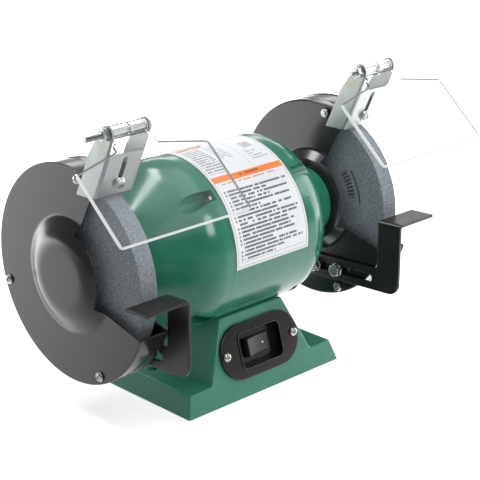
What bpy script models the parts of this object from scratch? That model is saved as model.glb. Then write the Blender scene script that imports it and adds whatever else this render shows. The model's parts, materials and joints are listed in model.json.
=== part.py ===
"""Bench grinder for 150 mm wheels, with guards, eye shields and tool rests.

Units are metres and +Z is up. The spindle runs along X, the switch faces -Y,
and the origin is the centre of the base's underside. Each piece on the +X end
is modelled once and mirrored to the -X end, except the shields' hinge bolts
and nuts, which are fitted the same way round on both ends.
"""
import math

import bmesh
import bpy
from mathutils import Matrix, Vector

# ---- Driving dimensions ----
GAP = 0.0003                                # between pieces that touch
RUNNING_GAP = 0.0004                        # between stator and rotor
LARGE, MEDIUM, SMALL = 36, 20, 12           # facets round a turned piece
PARALLEL_REACH = 0.2                        # longer than any through cut

BASE_LENGTH = 0.1716
BASE_WIDTH = 0.1301
BASE_SLOPE = math.radians(16.4)             # front and back lean in by this
BASE_WALL = 0.0035
BASE_EDGE = 0.0010
FLANGE_HEIGHT = 0.0177
FLANGE_END_INSET = 0.0053
PEDESTAL_FOOT_LENGTH = 0.1130
PEDESTAL_TOP_LENGTH = 0.0700
SADDLE_DEPTH = 0.0144
COVER_THICKNESS = 0.0015
COVER_RIM = 0.0025
MOUNT_HOLE_SPACING = 0.1348
MOUNT_HOLE_RADIUS = 0.0045
MOUNT_BOSS_RADIUS = 0.0085

GLAND_X = 0.030
GLAND_HEIGHT = 0.030
GLAND_BORE = 0.0038
GLAND_NECK = 0.0070
GLAND_HEAD = 0.0095

SWITCH_HEIGHT = 0.0361
SWITCH_PLATE_LENGTH = 0.0870
SWITCH_PLATE_WIDTH = 0.0457
SWITCH_PLATE_THICKNESS = 0.0025
SWITCH_WELL_LENGTH = 0.0450
SWITCH_WELL_WIDTH = 0.0290
SWITCH_WELL_DEPTH = 0.0070                  # from the plate's face to the floor
SWITCH_WELL_WALL = 0.0015
SWITCH_SCREW_SPACING = 0.0754
ROCKER_LENGTH = 0.0260
ROCKER_WIDTH = 0.0152
ROCKER_HEIGHT = 0.0084                      # from the pivot to its raised ends
ROCKER_PIVOT_DEPTH = 0.0048                 # pivot below the well's floor
ROCKER_END_CLEARANCE = 0.0014
ROCKER_TILT = math.radians(8)
SWITCH_BODY_DEPTH = 0.0140
SWITCH_BODY_WALL = 0.0015

SPINDLE_HEIGHT = 0.1213
MOTOR_RADIUS = 0.0702
BARREL_HALF = 0.0415
BARREL_WALL = 0.0030
BELL_STRAIGHT = 0.0062                      # cylindrical skirt before the curve
BELL_LENGTH = 0.0535
BELL_END_RADIUS = 0.0445
BELL_WALL = 0.0040
BELL_CURVE_STEPS = 6
HUB_RADIUS = 0.0380
HUB_LENGTH = 0.0164
HUB_BORE = 0.0100

BOLT_CIRCLE = 0.0630
BOLT_ANGLES = (46.5, 133.5, 226.5, 313.5)
BOLT_SHANK = 0.0025
POCKET_RADIUS = 0.0070
POCKET_CIRCLE = 0.0650
POCKET_SKIRT = 0.0022                       # from the bell's rim to the seat
PAD_WALL = 0.0030

STATOR_HALF = 0.025
STATOR_BORE = 0.0360
WINDING_INNER = 0.0400
WINDING_OUTER = 0.0540
WINDING_LENGTH = 0.0175
CAGE_OUTER, CAGE_INNER = 0.0330, 0.0240
CAGE_LENGTH = 0.005
CORE_SHAFT_RADIUS = 0.0100
BEARING_OUTER = 0.0175
BEARING_BORE = 0.0075
BEARING_WIDTH = 0.0107
BEARING_SEAT = 0.0880                       # inner face of each bearing pocket
ARBOR_RADIUS = 0.00635

CAPACITOR_RADIUS = 0.015
CAPACITOR_LENGTH = 0.055
CAPACITOR_Y = 0.024

LABEL_LENGTH = 0.0795
LABEL_START = math.radians(-5)              # from the front, upwards
LABEL_ARC = math.radians(105)
LABEL_THICKNESS = 0.0003

WHEEL_RADIUS = 0.0762
WHEEL_WIDTH = 0.0160
WHEEL_X = 0.1338                            # middle of the right wheel
WHEEL_CHAMFER = 0.0008
CLAMP_RADIUS = 0.0260
INNER_CLAMP_DISC = 0.0050
OUTER_CLAMP_DISC = 0.0042
CLAMP_HUB_RADIUS = 0.0110
SHOULDER_X = 0.1160                         # where the spindle steps to the arbor
ARBOR_NUT_FLATS = 0.0190
ARBOR_NUT_HEIGHT = 0.0080
ARBOR_END = 0.1552

GUARD_RADIUS = 0.0864
GUARD_SHEET = 0.0013
GUARD_X = 0.1197                            # motor side of the inner plate
GUARD_DEPTH = 0.0285
COVER_OVERHANG = 0.0006
DOME_BASE = 0.0440
DOME_TOP = 0.0360
INNER_DOME = 0.0077
OUTER_DOME = 0.0090
SPINDLE_CLEARANCE_RADIUS = 0.0140
NOTCH_CORNER = Vector((-0.0133, 0.0371))    # Y and Z from the spindle
NOTCH_LEAN = math.radians(27.6)             # upper edge leans forward
NOTCH_RADIUS = 0.0380
NOTCH_START = math.radians(116.4)
NOTCH_END = math.radians(207.3)
NOTCH_LIP_SLOPE = math.radians(14.5)
BAND_END = math.radians(117)
BAND_START = math.radians(200.3)
GUARD_SCREW_CIRCLE = 0.0806
GUARD_SCREW_ANGLES = (-18.0, -115.0, 100.5)
GUARD_SCREW_SHANK = 0.0020

REST_SHEET = 0.0027
REST_HEIGHT = 0.0627                        # middle of the arm, at Y = 0
REST_RISE = math.tan(math.radians(3.4))     # upwards to the front
REST_FRONT = -0.1020
REST_BACK = -0.0785
REST_ARM_END = 0.0065
REST_ARM_HALF = 0.0100
REST_TABLE_HEIGHT = 0.0530                  # above the middle of the arm
REST_TABLE_LENGTH = 0.0428
REST_BEND = 0.0035
REST_INNER_CORNER = 0.004
REST_TOE_RADIUS = 0.010
REST_SLOT_HALF = 0.0034
REST_SLOT_FRONT = -0.0730
REST_SLOT_BACK = 0.0020
REST_BOLT_Y = (-0.0340, -0.0092)
REST_BOLT_SHANK = 0.0030
REST_BOLT_FLATS = 0.0100
REST_BOLT_HEAD = 0.0040
REST_BOLT_REACH = 0.0030                    # beyond the guard's inner plate
WASHER_THICKNESS = 0.0014

BRACKET_WIDTH = 0.0360
BRACKET_SHEET = 0.0015
BRACKET_LEAN = math.radians(24.5)
BRACKET_DROP = 0.0070                       # its lower edge below the tab's root
BRACKET_FRONT_HEIGHT = 0.0380
BRACKET_DEPTH = 0.0195
BRACKET_BACK_LOW = -0.0093
BRACKET_BACK_HIGH = 0.0285
BRACKET_BEND = 0.0025
BRACKET_WINDOW_CORNER = 0.004
BRACKET_SLOT_HALF = 0.0023
BRACKET_SLOT_LOW = 0.0070
BRACKET_SLOT_HIGH = 0.0323
BRACKET_SCREW_HEIGHT = 0.0115
BRACKET_SCREW_SHANK = 0.0020
EAR_RADIUS = 0.0065
TAB_SHEET = 0.0015
TAB_WIDTH = 0.0220
TAB_TOP = 0.0270                            # above the bracket's lower edge

HINGE_FORWARD = 0.0077                      # behind the bracket's front face
HINGE_HEIGHT = 0.0541                       # above the bracket's lower edge
HINGE_SHANK = 0.0025
HINGE_WASHER = 0.0050
HINGE_NUT_FLATS = 0.0080
HINGE_NUT_HEIGHT = 0.0040
HINGE_TAIL = {"left": 0.0141, "right": 0.0070}

SHIELD_WIDTH = 0.1225
SHIELD_REACH = 0.0875                       # hinge axis to the front edge
SHIELD_SHOULDER = 0.0155
SHIELD_SHOULDER_SLOPE = math.radians(13)
SHIELD_THICKNESS = 0.0025
SHIELD_TILT = math.radians(41.5)            # pane below horizontal
SHIELD_CORNER = 0.0035
KNUCKLE_RADIUS = 0.0055
KNUCKLE_SPLIT = 0.0010
EAR_RELIEF = 0.0104                         # pane's start beside the ears
EAR_CLEARANCE = 0.0010

PAN_HEIGHT = 0.0026
NUT_HEIGHT = 0.0032

# ---- Values that follow ----
MOTOR_BOTTOM = SPINDLE_HEIGHT - MOTOR_RADIUS
PEDESTAL_TOP = MOTOR_BOTTOM + SADDLE_DEPTH
BELL_RIM = BARREL_HALF + GAP
BELL_END = BELL_RIM + BELL_LENGTH
HUB_END = BELL_END + HUB_LENGTH
GUARD_COVER_X = GUARD_X + GUARD_DEPTH - GUARD_SHEET
WHEEL_INNER_X = WHEEL_X - WHEEL_WIDTH / 2
WHEEL_OUTER_X = WHEEL_X + WHEEL_WIDTH / 2
SHAFT_SHOULDER = BEARING_SEAT - GAP

AXLE = Matrix.Translation((0, 0, SPINDLE_HEIGHT)) @ Matrix.Rotation(math.pi / 2, 4, "Y")
SIDE_PLANE = Matrix(((0, 0, 1, 0), (1, 0, 0, 0), (0, 1, 0, 0), (0, 0, 0, 1)))
FRONT_PLANE = Matrix.Rotation(math.pi / 2, 4, "X")


# ---- Scene and materials ----
def clear_scene():
    for item in list(bpy.data.objects):
        bpy.data.objects.remove(item, do_unlink=True)


def new_collection(name):
    group = bpy.data.collections.new(name)
    bpy.context.scene.collection.children.link(group)
    return group


def new_material(name, colour, roughness, metallic=0.0):
    material = bpy.data.materials.new(name)
    material.use_nodes = True
    shader = material.node_tree.nodes["Principled BSDF"]
    shader.inputs["Base Color"].default_value = (*colour, 1.0)
    shader.inputs["Roughness"].default_value = roughness
    shader.inputs["Metallic"].default_value = metallic
    material.diffuse_color = (*colour, 1.0)
    return material


clear_scene()
PIECES = new_collection("bench_grinder")
CUTTERS = new_collection("cutters")

GREEN_GLOSS = new_material("motor_green_enamel", (0.030, 0.165, 0.105), 0.25)
GREEN_CAST = new_material("base_green_enamel", (0.030, 0.150, 0.095), 0.45)
GUARD_BLACK = new_material("guard_black_enamel", (0.030, 0.030, 0.032), 0.40)
REST_BLACK = new_material("rest_black_enamel", (0.015, 0.015, 0.016), 0.45)
SWITCH_BLACK = new_material("switch_black_plastic", (0.012, 0.011, 0.012), 0.30)
ZINC = new_material("bright_zinc", (0.62, 0.63, 0.62), 0.30, 1.0)
STEEL = new_material("machined_steel", (0.45, 0.45, 0.46), 0.35, 1.0)
IRON = new_material("laminated_steel", (0.25, 0.25, 0.26), 0.50, 1.0)
COPPER = new_material("enamelled_copper", (0.55, 0.22, 0.08), 0.40, 1.0)
ABRASIVE = new_material("grey_abrasive", (0.13, 0.14, 0.17), 0.95)
CLEAR = new_material("clear_polycarbonate", (0.90, 0.93, 0.94), 0.05)
PAPER = new_material("label_foil", (0.85, 0.86, 0.86), 0.45)
RUBBER = new_material("gland_rubber", (0.02, 0.02, 0.02), 0.75)
CAN = new_material("capacitor_can", (0.10, 0.10, 0.11), 0.55)


# ---- Modelling helpers ----
def add_piece(name, mesh, material, matrix):
    mesh.shade_smooth()
    mesh.set_sharp_from_angle(angle=math.radians(35))
    piece = bpy.data.objects.new(name, mesh)
    piece.matrix_world = matrix
    if material is None:
        piece.hide_render = True
        piece.display_type = "WIRE"
        CUTTERS.objects.link(piece)
    else:
        mesh.materials.append(material)
        PIECES.objects.link(piece)
    return piece


def arc(centre, radius, start, end, steps):
    """Points on an arc in a plane, both ends included."""
    turn = (end - start) / steps
    angles = [start + turn * i for i in range(steps + 1)]
    return [(centre[0] + radius * math.cos(a), centre[1] + radius * math.sin(a)) for a in angles]


def ring_outline(centre, radius, steps=SMALL):
    return arc(centre, radius, 0.0, 2 * math.pi * (steps - 1) / steps, steps - 1)


def slot_outline(start, end, half_width):
    """A straight slot with round ends, from the centre of one end to the other."""
    angle = math.atan2(end[1] - start[1], end[0] - start[0])
    far = arc(end, half_width, angle - math.pi / 2, angle + math.pi / 2, 6)
    near = arc(start, half_width, angle + math.pi / 2, angle + math.pi * 1.5, 6)
    return far + near


def rounded_outline(low, high, radius, steps=3):
    corners = ((high[0], low[1], -90), (high[0], high[1], 0), (low[0], high[1], 90), (low[0], low[1], 180))
    points = []
    for x, y, angle in corners:
        centre = (x - math.copysign(radius, x - low[0] - radius), y - math.copysign(radius, y - low[1] - radius))
        points += arc(centre, radius, math.radians(angle), math.radians(angle + 90), steps)
    return points


def sheet(name, outlines, low, high, material, plane):
    """A flat outline, with any holes, filled between two heights over its plane."""
    curve = bpy.data.curves.new(name, "CURVE")
    curve.dimensions = "2D"
    curve.fill_mode = "BOTH"
    curve.extrude = (high - low) / 2
    for outline in outlines:
        spline = curve.splines.new("POLY")
        spline.points.add(len(outline) - 1)
        for point, (x, y) in zip(spline.points, outline):
            point.co = (x, y, 0.0, 1.0)
        spline.use_cyclic_u = True
    drawn = bpy.data.objects.new(name, curve)
    PIECES.objects.link(drawn)
    bpy.context.view_layer.update()
    depsgraph = bpy.context.evaluated_depsgraph_get()
    mesh = bpy.data.meshes.new_from_object(drawn.evaluated_get(depsgraph))
    bpy.data.objects.remove(drawn)
    shape = bmesh.new()
    shape.from_mesh(mesh)
    bmesh.ops.remove_doubles(shape, verts=shape.verts, dist=0.00001)
    bmesh.ops.translate(shape, verts=shape.verts, vec=(0, 0, (low + high) / 2))
    bmesh.ops.recalc_face_normals(shape, faces=shape.faces)
    shape.to_mesh(mesh)
    shape.free()
    mesh.name = name
    return add_piece(name, mesh, material, plane)


def turned(name, profile, material, matrix, steps=LARGE, closed=True):
    """A profile of (radius, height) points turned about the matrix's Z axis."""
    mesh = bpy.data.meshes.new(name)
    count = len(profile)
    edges = [(i, i + 1) for i in range(count - 1)]
    if closed:
        edges.append((count - 1, 0))
    mesh.from_pydata([(r, 0.0, z) for r, z in profile], edges, [])
    piece = add_piece(name, mesh, material, matrix)
    screw = piece.modifiers.new("turn", "SCREW")
    screw.steps = steps
    screw.render_steps = steps
    screw.use_merge_vertices = True
    screw.merge_threshold = 0.00001
    return piece


def rod(name, radius, low, high, material, matrix, facets=SMALL):
    """A round bar, or a hexagonal one with 6 facets, along the matrix's Z axis."""
    shape = bmesh.new()
    middle = Matrix.Translation((0, 0, (low + high) / 2))
    bmesh.ops.create_cone(shape, cap_ends=True, segments=facets, radius1=radius, radius2=radius,
                          depth=high - low, matrix=middle)
    mesh = bpy.data.meshes.new(name)
    shape.to_mesh(mesh)
    shape.free()
    return add_piece(name, mesh, material, matrix)


def block(name, low, high, material, matrix=Matrix.Identity(4)):
    """A box between two corners."""
    low, high = Vector(low), Vector(high)
    shape = bmesh.new()
    bmesh.ops.create_cube(shape, size=1.0)
    bmesh.ops.scale(shape, vec=high - low, verts=shape.verts)
    bmesh.ops.translate(shape, vec=(low + high) / 2, verts=shape.verts)
    mesh = bpy.data.meshes.new(name)
    shape.to_mesh(mesh)
    shape.free()
    return add_piece(name, mesh, material, matrix)


def combine(piece, tool, operation="DIFFERENCE"):
    step = piece.modifiers.new(tool.name, "BOOLEAN")
    step.operation = operation
    step.solver = "EXACT"
    step.object = tool
    return piece


def round_edges(piece, width, segments=2):
    bevel = piece.modifiers.new("rounded_edges", "BEVEL")
    bevel.width = width
    bevel.segments = segments
    bevel.limit_method = "ANGLE"
    bevel.angle_limit = math.radians(30)


def mirror_to_left(source):
    """The finished right-hand piece again on the -X end, as its mirror image."""
    bpy.context.view_layer.update()
    depsgraph = bpy.context.evaluated_depsgraph_get()
    mesh = bpy.data.meshes.new_from_object(source.evaluated_get(depsgraph))
    origin = source.matrix_world.translation.copy()
    origin.x = -origin.x
    across = Matrix.Scale(-1, 4, (1, 0, 0)) @ source.matrix_world
    mesh.transform(Matrix.Translation(-origin) @ across)
    mesh.flip_normals()
    mesh.name = source.name.replace("right_", "left_")
    piece = bpy.data.objects.new(mesh.name, mesh)
    piece.location = origin
    PIECES.objects.link(piece)
    return piece


def pan_screw(name, shank, head, reach, matrix, head_height=PAN_HEIGHT, washer=0.0):
    """Head above the matrix's plane, over any washer, and shank below it."""
    seat = GAP
    top = seat + head_height
    profile = [(0, top), (head * 0.55, top - head_height * 0.08), (head * 0.88, top - head_height * 0.40)]
    profile += [(head, seat + (WASHER_THICKNESS if washer else 0.0))]
    if washer:
        profile += [(washer, seat + WASHER_THICKNESS)]
        profile += [(washer, seat)]
    else:
        profile[-1] = (head, seat)
    profile += [(shank, seat), (shank, -reach), (0, -reach)]
    return turned(name, profile, ZINC, matrix, SMALL, closed=False)


def polar(radius, degrees):
    """Y and Z of a point round the spindle, from an angle above +Y."""
    angle = math.radians(degrees)
    return radius * math.cos(angle), SPINDLE_HEIGHT + radius * math.sin(angle)


def along_x(x, y, z):
    """A frame whose Z axis is +X, at a point."""
    return Matrix.Translation((x, y, z)) @ Matrix.Rotation(math.pi / 2, 4, "Y")


# ---- Base ----
def base_outline(inset, top, bottom):
    """Front view of the base, drawn smaller by inset on every side."""
    def pedestal_half(z):
        share = (z - FLANGE_HEIGHT) / (PEDESTAL_TOP - FLANGE_HEIGHT)
        foot, head = PEDESTAL_FOOT_LENGTH / 2, PEDESTAL_TOP_LENGTH / 2
        return foot + (head - foot) * share - inset * 1.1
    end = BASE_LENGTH / 2 - inset
    step = FLANGE_HEIGHT - inset
    right = [(end, bottom), (end - FLANGE_END_INSET, step), (pedestal_half(step), step), (pedestal_half(top), top)]
    return right + [(-x, z) for x, z in reversed(right)]


def sloped_body(name, inset, top, bottom, material):
    """The base's front view drawn out between its leaning front and back."""
    half = BASE_WIDTH / 2 - inset / math.cos(BASE_SLOPE)
    piece = sheet(name, [base_outline(inset, top, bottom)], -half, half, material, FRONT_PLANE)
    for vertex in piece.data.vertices:
        lean = vertex.co.y * math.tan(BASE_SLOPE)
        vertex.co.z -= math.copysign(lean, vertex.co.z)
    return piece


def slope_frame(x, height, back=False):
    """On the leaning front or back of the base: X across, Y up it, Z outwards."""
    y = BASE_WIDTH / 2 - height * math.tan(BASE_SLOPE)
    turn = Matrix.Rotation(math.pi, 4, "Z") if back else Matrix.Identity(4)
    lean = Matrix.Rotation(math.pi / 2 - BASE_SLOPE, 4, "X")
    return turn @ Matrix.Translation((-x if back else x, -y, height)) @ lean


def build_base():
    casting = sloped_body("base_casting", 0.0, PEDESTAL_TOP, 0.0, GREEN_CAST)
    round_edges(casting, BASE_EDGE, 1)
    cavity_top = MOTOR_BOTTOM - BASE_WALL * 1.3
    combine(casting, sloped_body("base_cavity", BASE_WALL, cavity_top, -BASE_WALL, None))
    recess = COVER_THICKNESS + GAP
    rim_x, rim_y = BASE_LENGTH / 2 - COVER_RIM, BASE_WIDTH / 2 - COVER_RIM
    combine(casting, block("cover_recess", (-rim_x, -rim_y, -recess), (rim_x, rim_y, recess), None))
    reach = MOTOR_RADIUS + GAP
    ends = PARALLEL_REACH
    saddle = turned("saddle_cut", [(0, ends), (reach, ends), (reach, -ends), (0, -ends)], None, AXLE, closed=False)
    combine(casting, saddle)
    holes = [(-MOUNT_HOLE_SPACING / 2, 0.0), (MOUNT_HOLE_SPACING / 2, 0.0)]
    for index, (x, y) in enumerate(holes):
        place = Matrix.Translation((x, y, 0))
        boss_top = FLANGE_HEIGHT - BASE_WALL / 2
        boss = rod(f"mount_boss_{index}", MOUNT_BOSS_RADIUS, recess, boss_top, None, place, MEDIUM)
        combine(casting, boss, "UNION")
        hole = rod(f"mount_hole_{index}", MOUNT_HOLE_RADIUS, -recess, FLANGE_HEIGHT * 2, None, place, MEDIUM)
        combine(casting, hole)
    front = slope_frame(0, SWITCH_HEIGHT)
    well_x = SWITCH_WELL_LENGTH / 2 + SWITCH_WELL_WALL + GAP
    well_y = SWITCH_WELL_WIDTH / 2 + SWITCH_WELL_WALL + GAP
    deep = BASE_WALL * 2
    combine(casting, block("switch_window", (-well_x, -well_y, -deep), (well_x, well_y, deep), None, front))
    for side in (-1, 1):
        place = front @ Matrix.Translation((side * SWITCH_SCREW_SPACING / 2, 0, 0))
        combine(casting, rod(f"switch_screw_hole_{side}", 0.0020 + GAP, -deep, deep, None, place))
    rear = slope_frame(GLAND_X, GLAND_HEIGHT, back=True)
    combine(casting, rod("gland_hole", GLAND_NECK + GAP, -deep, deep, None, rear, MEDIUM))
    inset = COVER_RIM + GAP
    cover_x, cover_y = BASE_LENGTH / 2 - inset, BASE_WIDTH / 2 - inset
    plate = [(-cover_x, -cover_y), (cover_x, -cover_y), (cover_x, cover_y), (-cover_x, cover_y)]
    openings = [ring_outline(hole, MOUNT_HOLE_RADIUS + GAP, MEDIUM) for hole in holes]
    sheet("base_bottom_cover", [plate] + openings, 0.0, COVER_THICKNESS, GUARD_BLACK, Matrix.Identity(4))
    collar = -BASE_WALL - GAP
    gland = [(GLAND_HEAD * 0.8, 0.0045), (GLAND_HEAD, 0.0030), (GLAND_HEAD, GAP), (GLAND_NECK, GAP)]
    gland += [(GLAND_NECK, collar), (GLAND_NECK + 0.0012, collar), (GLAND_NECK, collar - 0.0030)]
    gland += [(GLAND_BORE, collar - 0.0030), (GLAND_BORE, 0.0045)]
    turned("cord_gland", gland, RUBBER, rear, MEDIUM)
    can = CAPACITOR_RADIUS
    place = along_x(0, CAPACITOR_Y, COVER_THICKNESS + GAP + can)
    half = CAPACITOR_LENGTH / 2
    soft = can * 0.1
    profile = [(0, half), (can - soft, half), (can, half - soft), (can, soft - half), (can - soft, -half), (0, -half)]
    turned("run_capacitor", profile, CAN, place, MEDIUM, closed=False)


# ---- Switch ----
def build_switch():
    front = slope_frame(0, SWITCH_HEIGHT)
    face = GAP + SWITCH_PLATE_THICKNESS
    floor = face - SWITCH_WELL_DEPTH
    under = floor - SWITCH_WELL_WALL
    end = SWITCH_PLATE_WIDTH / 2
    centre = SWITCH_PLATE_LENGTH / 2 - end
    stadium = arc((centre, 0), end, -math.pi / 2, math.pi / 2, 12)
    stadium += arc((-centre, 0), end, math.pi / 2, math.pi * 1.5, 12)
    plate = sheet("switch_plate", [stadium], GAP, face, SWITCH_BLACK, front)
    well = Vector((SWITCH_WELL_LENGTH / 2, SWITCH_WELL_WIDTH / 2))
    outer = well + Vector((SWITCH_WELL_WALL, SWITCH_WELL_WALL))
    walls = block("well_walls", (-outer.x, -outer.y, under), (outer.x, outer.y, face - 0.0010), None, front)
    combine(plate, walls, "UNION")
    pocket = rounded_outline(-well, well, 0.005)
    combine(plate, sheet("well_pocket", [pocket], floor, face * 2, None, front))
    slot_x = ROCKER_LENGTH / 2 + ROCKER_END_CLEARANCE
    slot_y = ROCKER_WIDTH / 2 + GAP
    combine(plate, block("rocker_slot", (-slot_x, -slot_y, under * 2), (slot_x, slot_y, face), None, front))
    for side, word in ((-1, "left"), (1, "right")):
        place = front @ Matrix.Translation((side * SWITCH_SCREW_SPACING / 2, 0, face))
        combine(plate, rod(f"plate_hole_{word}", 0.0020 + GAP, -face * 2, face, None, place))
        pan_screw(f"switch_screw_{word}", 0.0020, 0.0037, 0.0110, place)
    top = under - GAP
    wall = SWITCH_BODY_WALL
    low = top - SWITCH_BODY_DEPTH
    body = block("switch_body", (-slot_x - wall, -slot_y - wall, low), (slot_x + wall, slot_y + wall, top),
                 SWITCH_BLACK, front)
    combine(body, block("switch_cavity", (-slot_x, -slot_y, low + wall), (slot_x, slot_y, face), None, front))
    half = ROCKER_LENGTH / 2
    keel = ROCKER_HEIGHT * 0.5
    rise = ROCKER_HEIGHT * 0.8
    shape = [(half, keel * 0.7), (half, ROCKER_HEIGHT), (0, rise), (-half, ROCKER_HEIGHT), (-half, keel * 0.7)]
    shape += [(-half * 0.38, -keel), (half * 0.38, -keel)]
    pivot = front @ Matrix.Translation((0, 0, floor - ROCKER_PIVOT_DEPTH))
    tilted = pivot @ Matrix.Rotation(ROCKER_TILT, 4, "Y") @ FRONT_PLANE
    rocker = sheet("switch_rocker", [shape], -ROCKER_WIDTH / 2, ROCKER_WIDTH / 2, SWITCH_BLACK, tilted)
    round_edges(rocker, 0.0006, 1)


# ---- Motor ----
def bell_radius(x):
    """Outside radius of an end bell: a straight skirt, then half a cosine."""
    start = BELL_RIM + BELL_STRAIGHT
    share = max(0.0, (x - start) / (BELL_END - start))
    middle, swing = (MOTOR_RADIUS + BELL_END_RADIUS) / 2, (MOTOR_RADIUS - BELL_END_RADIUS) / 2
    return middle + swing * math.cos(math.pi * share)


def bell_curve(inset, last):
    """Radius and height points from the bell's narrow end down to its skirt."""
    start = BELL_RIM + BELL_STRAIGHT
    heights = [last + (start - last) * i / BELL_CURVE_STEPS for i in range(BELL_CURVE_STEPS + 1)]
    return [(bell_radius(x) - inset, x) for x in heights]


def build_bell():
    outside = [(0, HUB_END), (HUB_RADIUS, HUB_END), (HUB_RADIUS, BELL_END)]
    outside += bell_curve(0, BELL_END)
    outside += [(MOTOR_RADIUS, BELL_RIM), (0, BELL_RIM)]
    bell = turned("right_end_bell", outside, GREEN_GLOSS, AXLE, closed=False)
    pocket = BEARING_OUTER + GAP
    stop = BEARING_SEAT + BEARING_WIDTH + 2 * GAP
    below = BELL_RIM - GAP * 3
    inside = [(0, HUB_END * 1.02), (HUB_BORE, HUB_END * 1.02), (HUB_BORE, stop), (pocket, stop)]
    inside += [(pocket, BEARING_SEAT)]
    inside += bell_curve(BELL_WALL, BEARING_SEAT)
    inside += [(MOTOR_RADIUS - BELL_WALL, below), (0, below)]
    hollow = turned("bell_hollow", inside, None, AXLE, closed=False)
    seat = BELL_RIM + POCKET_SKIRT
    for index, angle in enumerate(BOLT_ANGLES):
        pad = rod(f"bell_pad_{index}", POCKET_RADIUS + PAD_WALL, BELL_RIM - 0.01, BELL_END, None,
                  along_x(0, *polar(POCKET_CIRCLE, angle)))
        combine(hollow, pad)
    combine(bell, hollow)
    for index, angle in enumerate(BOLT_ANGLES):
        groove = rod(f"bell_groove_{index}", POCKET_RADIUS, seat, HUB_END, None,
                     along_x(0, *polar(POCKET_CIRCLE, angle)))
        combine(bell, groove)
        hole = rod(f"bell_hole_{index}", BOLT_SHANK + GAP, BELL_RIM - 0.01, HUB_END, None,
                   along_x(0, *polar(BOLT_CIRCLE, angle)))
        combine(bell, hole)
    mirror_to_left(bell)
    for index, angle in enumerate(BOLT_ANGLES):
        head = 0.0042
        end = seat + GAP
        profile = [(0, end + PAN_HEIGHT), (head * 0.7, end + PAN_HEIGHT), (head, end + PAN_HEIGHT * 0.5)]
        profile += [(head, end), (BOLT_SHANK, end)]
        mirrored = [(radius, -height) for radius, height in reversed(profile)]
        turned(f"through_bolt_{index + 1}", profile + mirrored, ZINC, along_x(0, *polar(BOLT_CIRCLE, angle)),
               SMALL, closed=False)


def tube(name, outer, inner, low, high, material, matrix=AXLE, steps=LARGE):
    return turned(name, [(inner, high), (outer, high), (outer, low), (inner, low)], material, matrix, steps)


def build_motor():
    tube("motor_barrel", MOTOR_RADIUS, MOTOR_RADIUS - BARREL_WALL, -BARREL_HALF, BARREL_HALF, GREEN_GLOSS)
    stator_outer = MOTOR_RADIUS - BARREL_WALL - GAP
    stator = tube("stator_core", stator_outer, STATOR_BORE, -STATOR_HALF, STATOR_HALF, IRON)
    for index, angle in enumerate(BOLT_ANGLES):
        place = along_x(0, *polar(stator_outer, angle))
        notch = stator_outer - BOLT_CIRCLE + BOLT_SHANK + GAP
        combine(stator, rod(f"stator_notch_{index}", notch, -BARREL_HALF, BARREL_HALF, None, place))
    low, high = STATOR_HALF + GAP, STATOR_HALF + GAP + WINDING_LENGTH
    soft = WINDING_LENGTH * 0.25
    outline = [(WINDING_INNER, high - soft), (WINDING_INNER + soft, high), (WINDING_OUTER - soft, high)]
    outline += [(WINDING_OUTER, high - soft), (WINDING_OUTER, low), (WINDING_INNER, low)]
    mirror_to_left(turned("right_winding", outline, COPPER, AXLE, MEDIUM))
    rotor = STATOR_BORE - RUNNING_GAP
    cage_end = STATOR_HALF + CAGE_LENGTH
    bore = CORE_SHAFT_RADIUS + GAP
    upper = [(bore, STATOR_HALF), (CAGE_INNER, STATOR_HALF), (CAGE_INNER, cage_end), (CAGE_OUTER, cage_end)]
    upper += [(CAGE_OUTER, STATOR_HALF), (rotor, STATOR_HALF)]
    lower = [(radius, -height) for radius, height in reversed(upper)]
    turned("rotor_core", upper + lower, IRON, AXLE, MEDIUM)
    upper = [(0, ARBOR_END), (ARBOR_RADIUS, ARBOR_END), (ARBOR_RADIUS, SHOULDER_X), (BEARING_BORE, SHOULDER_X)]
    upper += [(BEARING_BORE, SHAFT_SHOULDER), (CORE_SHAFT_RADIUS, SHAFT_SHOULDER)]
    lower = [(radius, -height) for radius, height in reversed(upper)]
    turned("spindle", upper + lower, STEEL, AXLE, MEDIUM, closed=False)
    low = BEARING_SEAT + GAP
    bearing = tube("right_bearing", BEARING_OUTER, BEARING_BORE + GAP, low, low + BEARING_WIDTH, STEEL, steps=MEDIUM)
    mirror_to_left(bearing)
    build_bell()


def build_label():
    """A foil label wrapped over the barrel, from its front to just past its top."""
    radius = MOTOR_RADIUS + GAP
    half = LABEL_LENGTH / 2
    far_edge = -math.pi / 2 - LABEL_START - LABEL_ARC
    profile = [(radius, half), (radius, -half)]
    place = AXLE @ Matrix.Rotation(far_edge, 4, "Z")
    label = turned("label_plate", profile, PAPER, place, SMALL, closed=False)
    label.modifiers["turn"].angle = LABEL_ARC
    foil = label.modifiers.new("foil", "SOLIDIFY")
    foil.thickness = LABEL_THICKNESS
    foil.offset = 1.0


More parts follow.
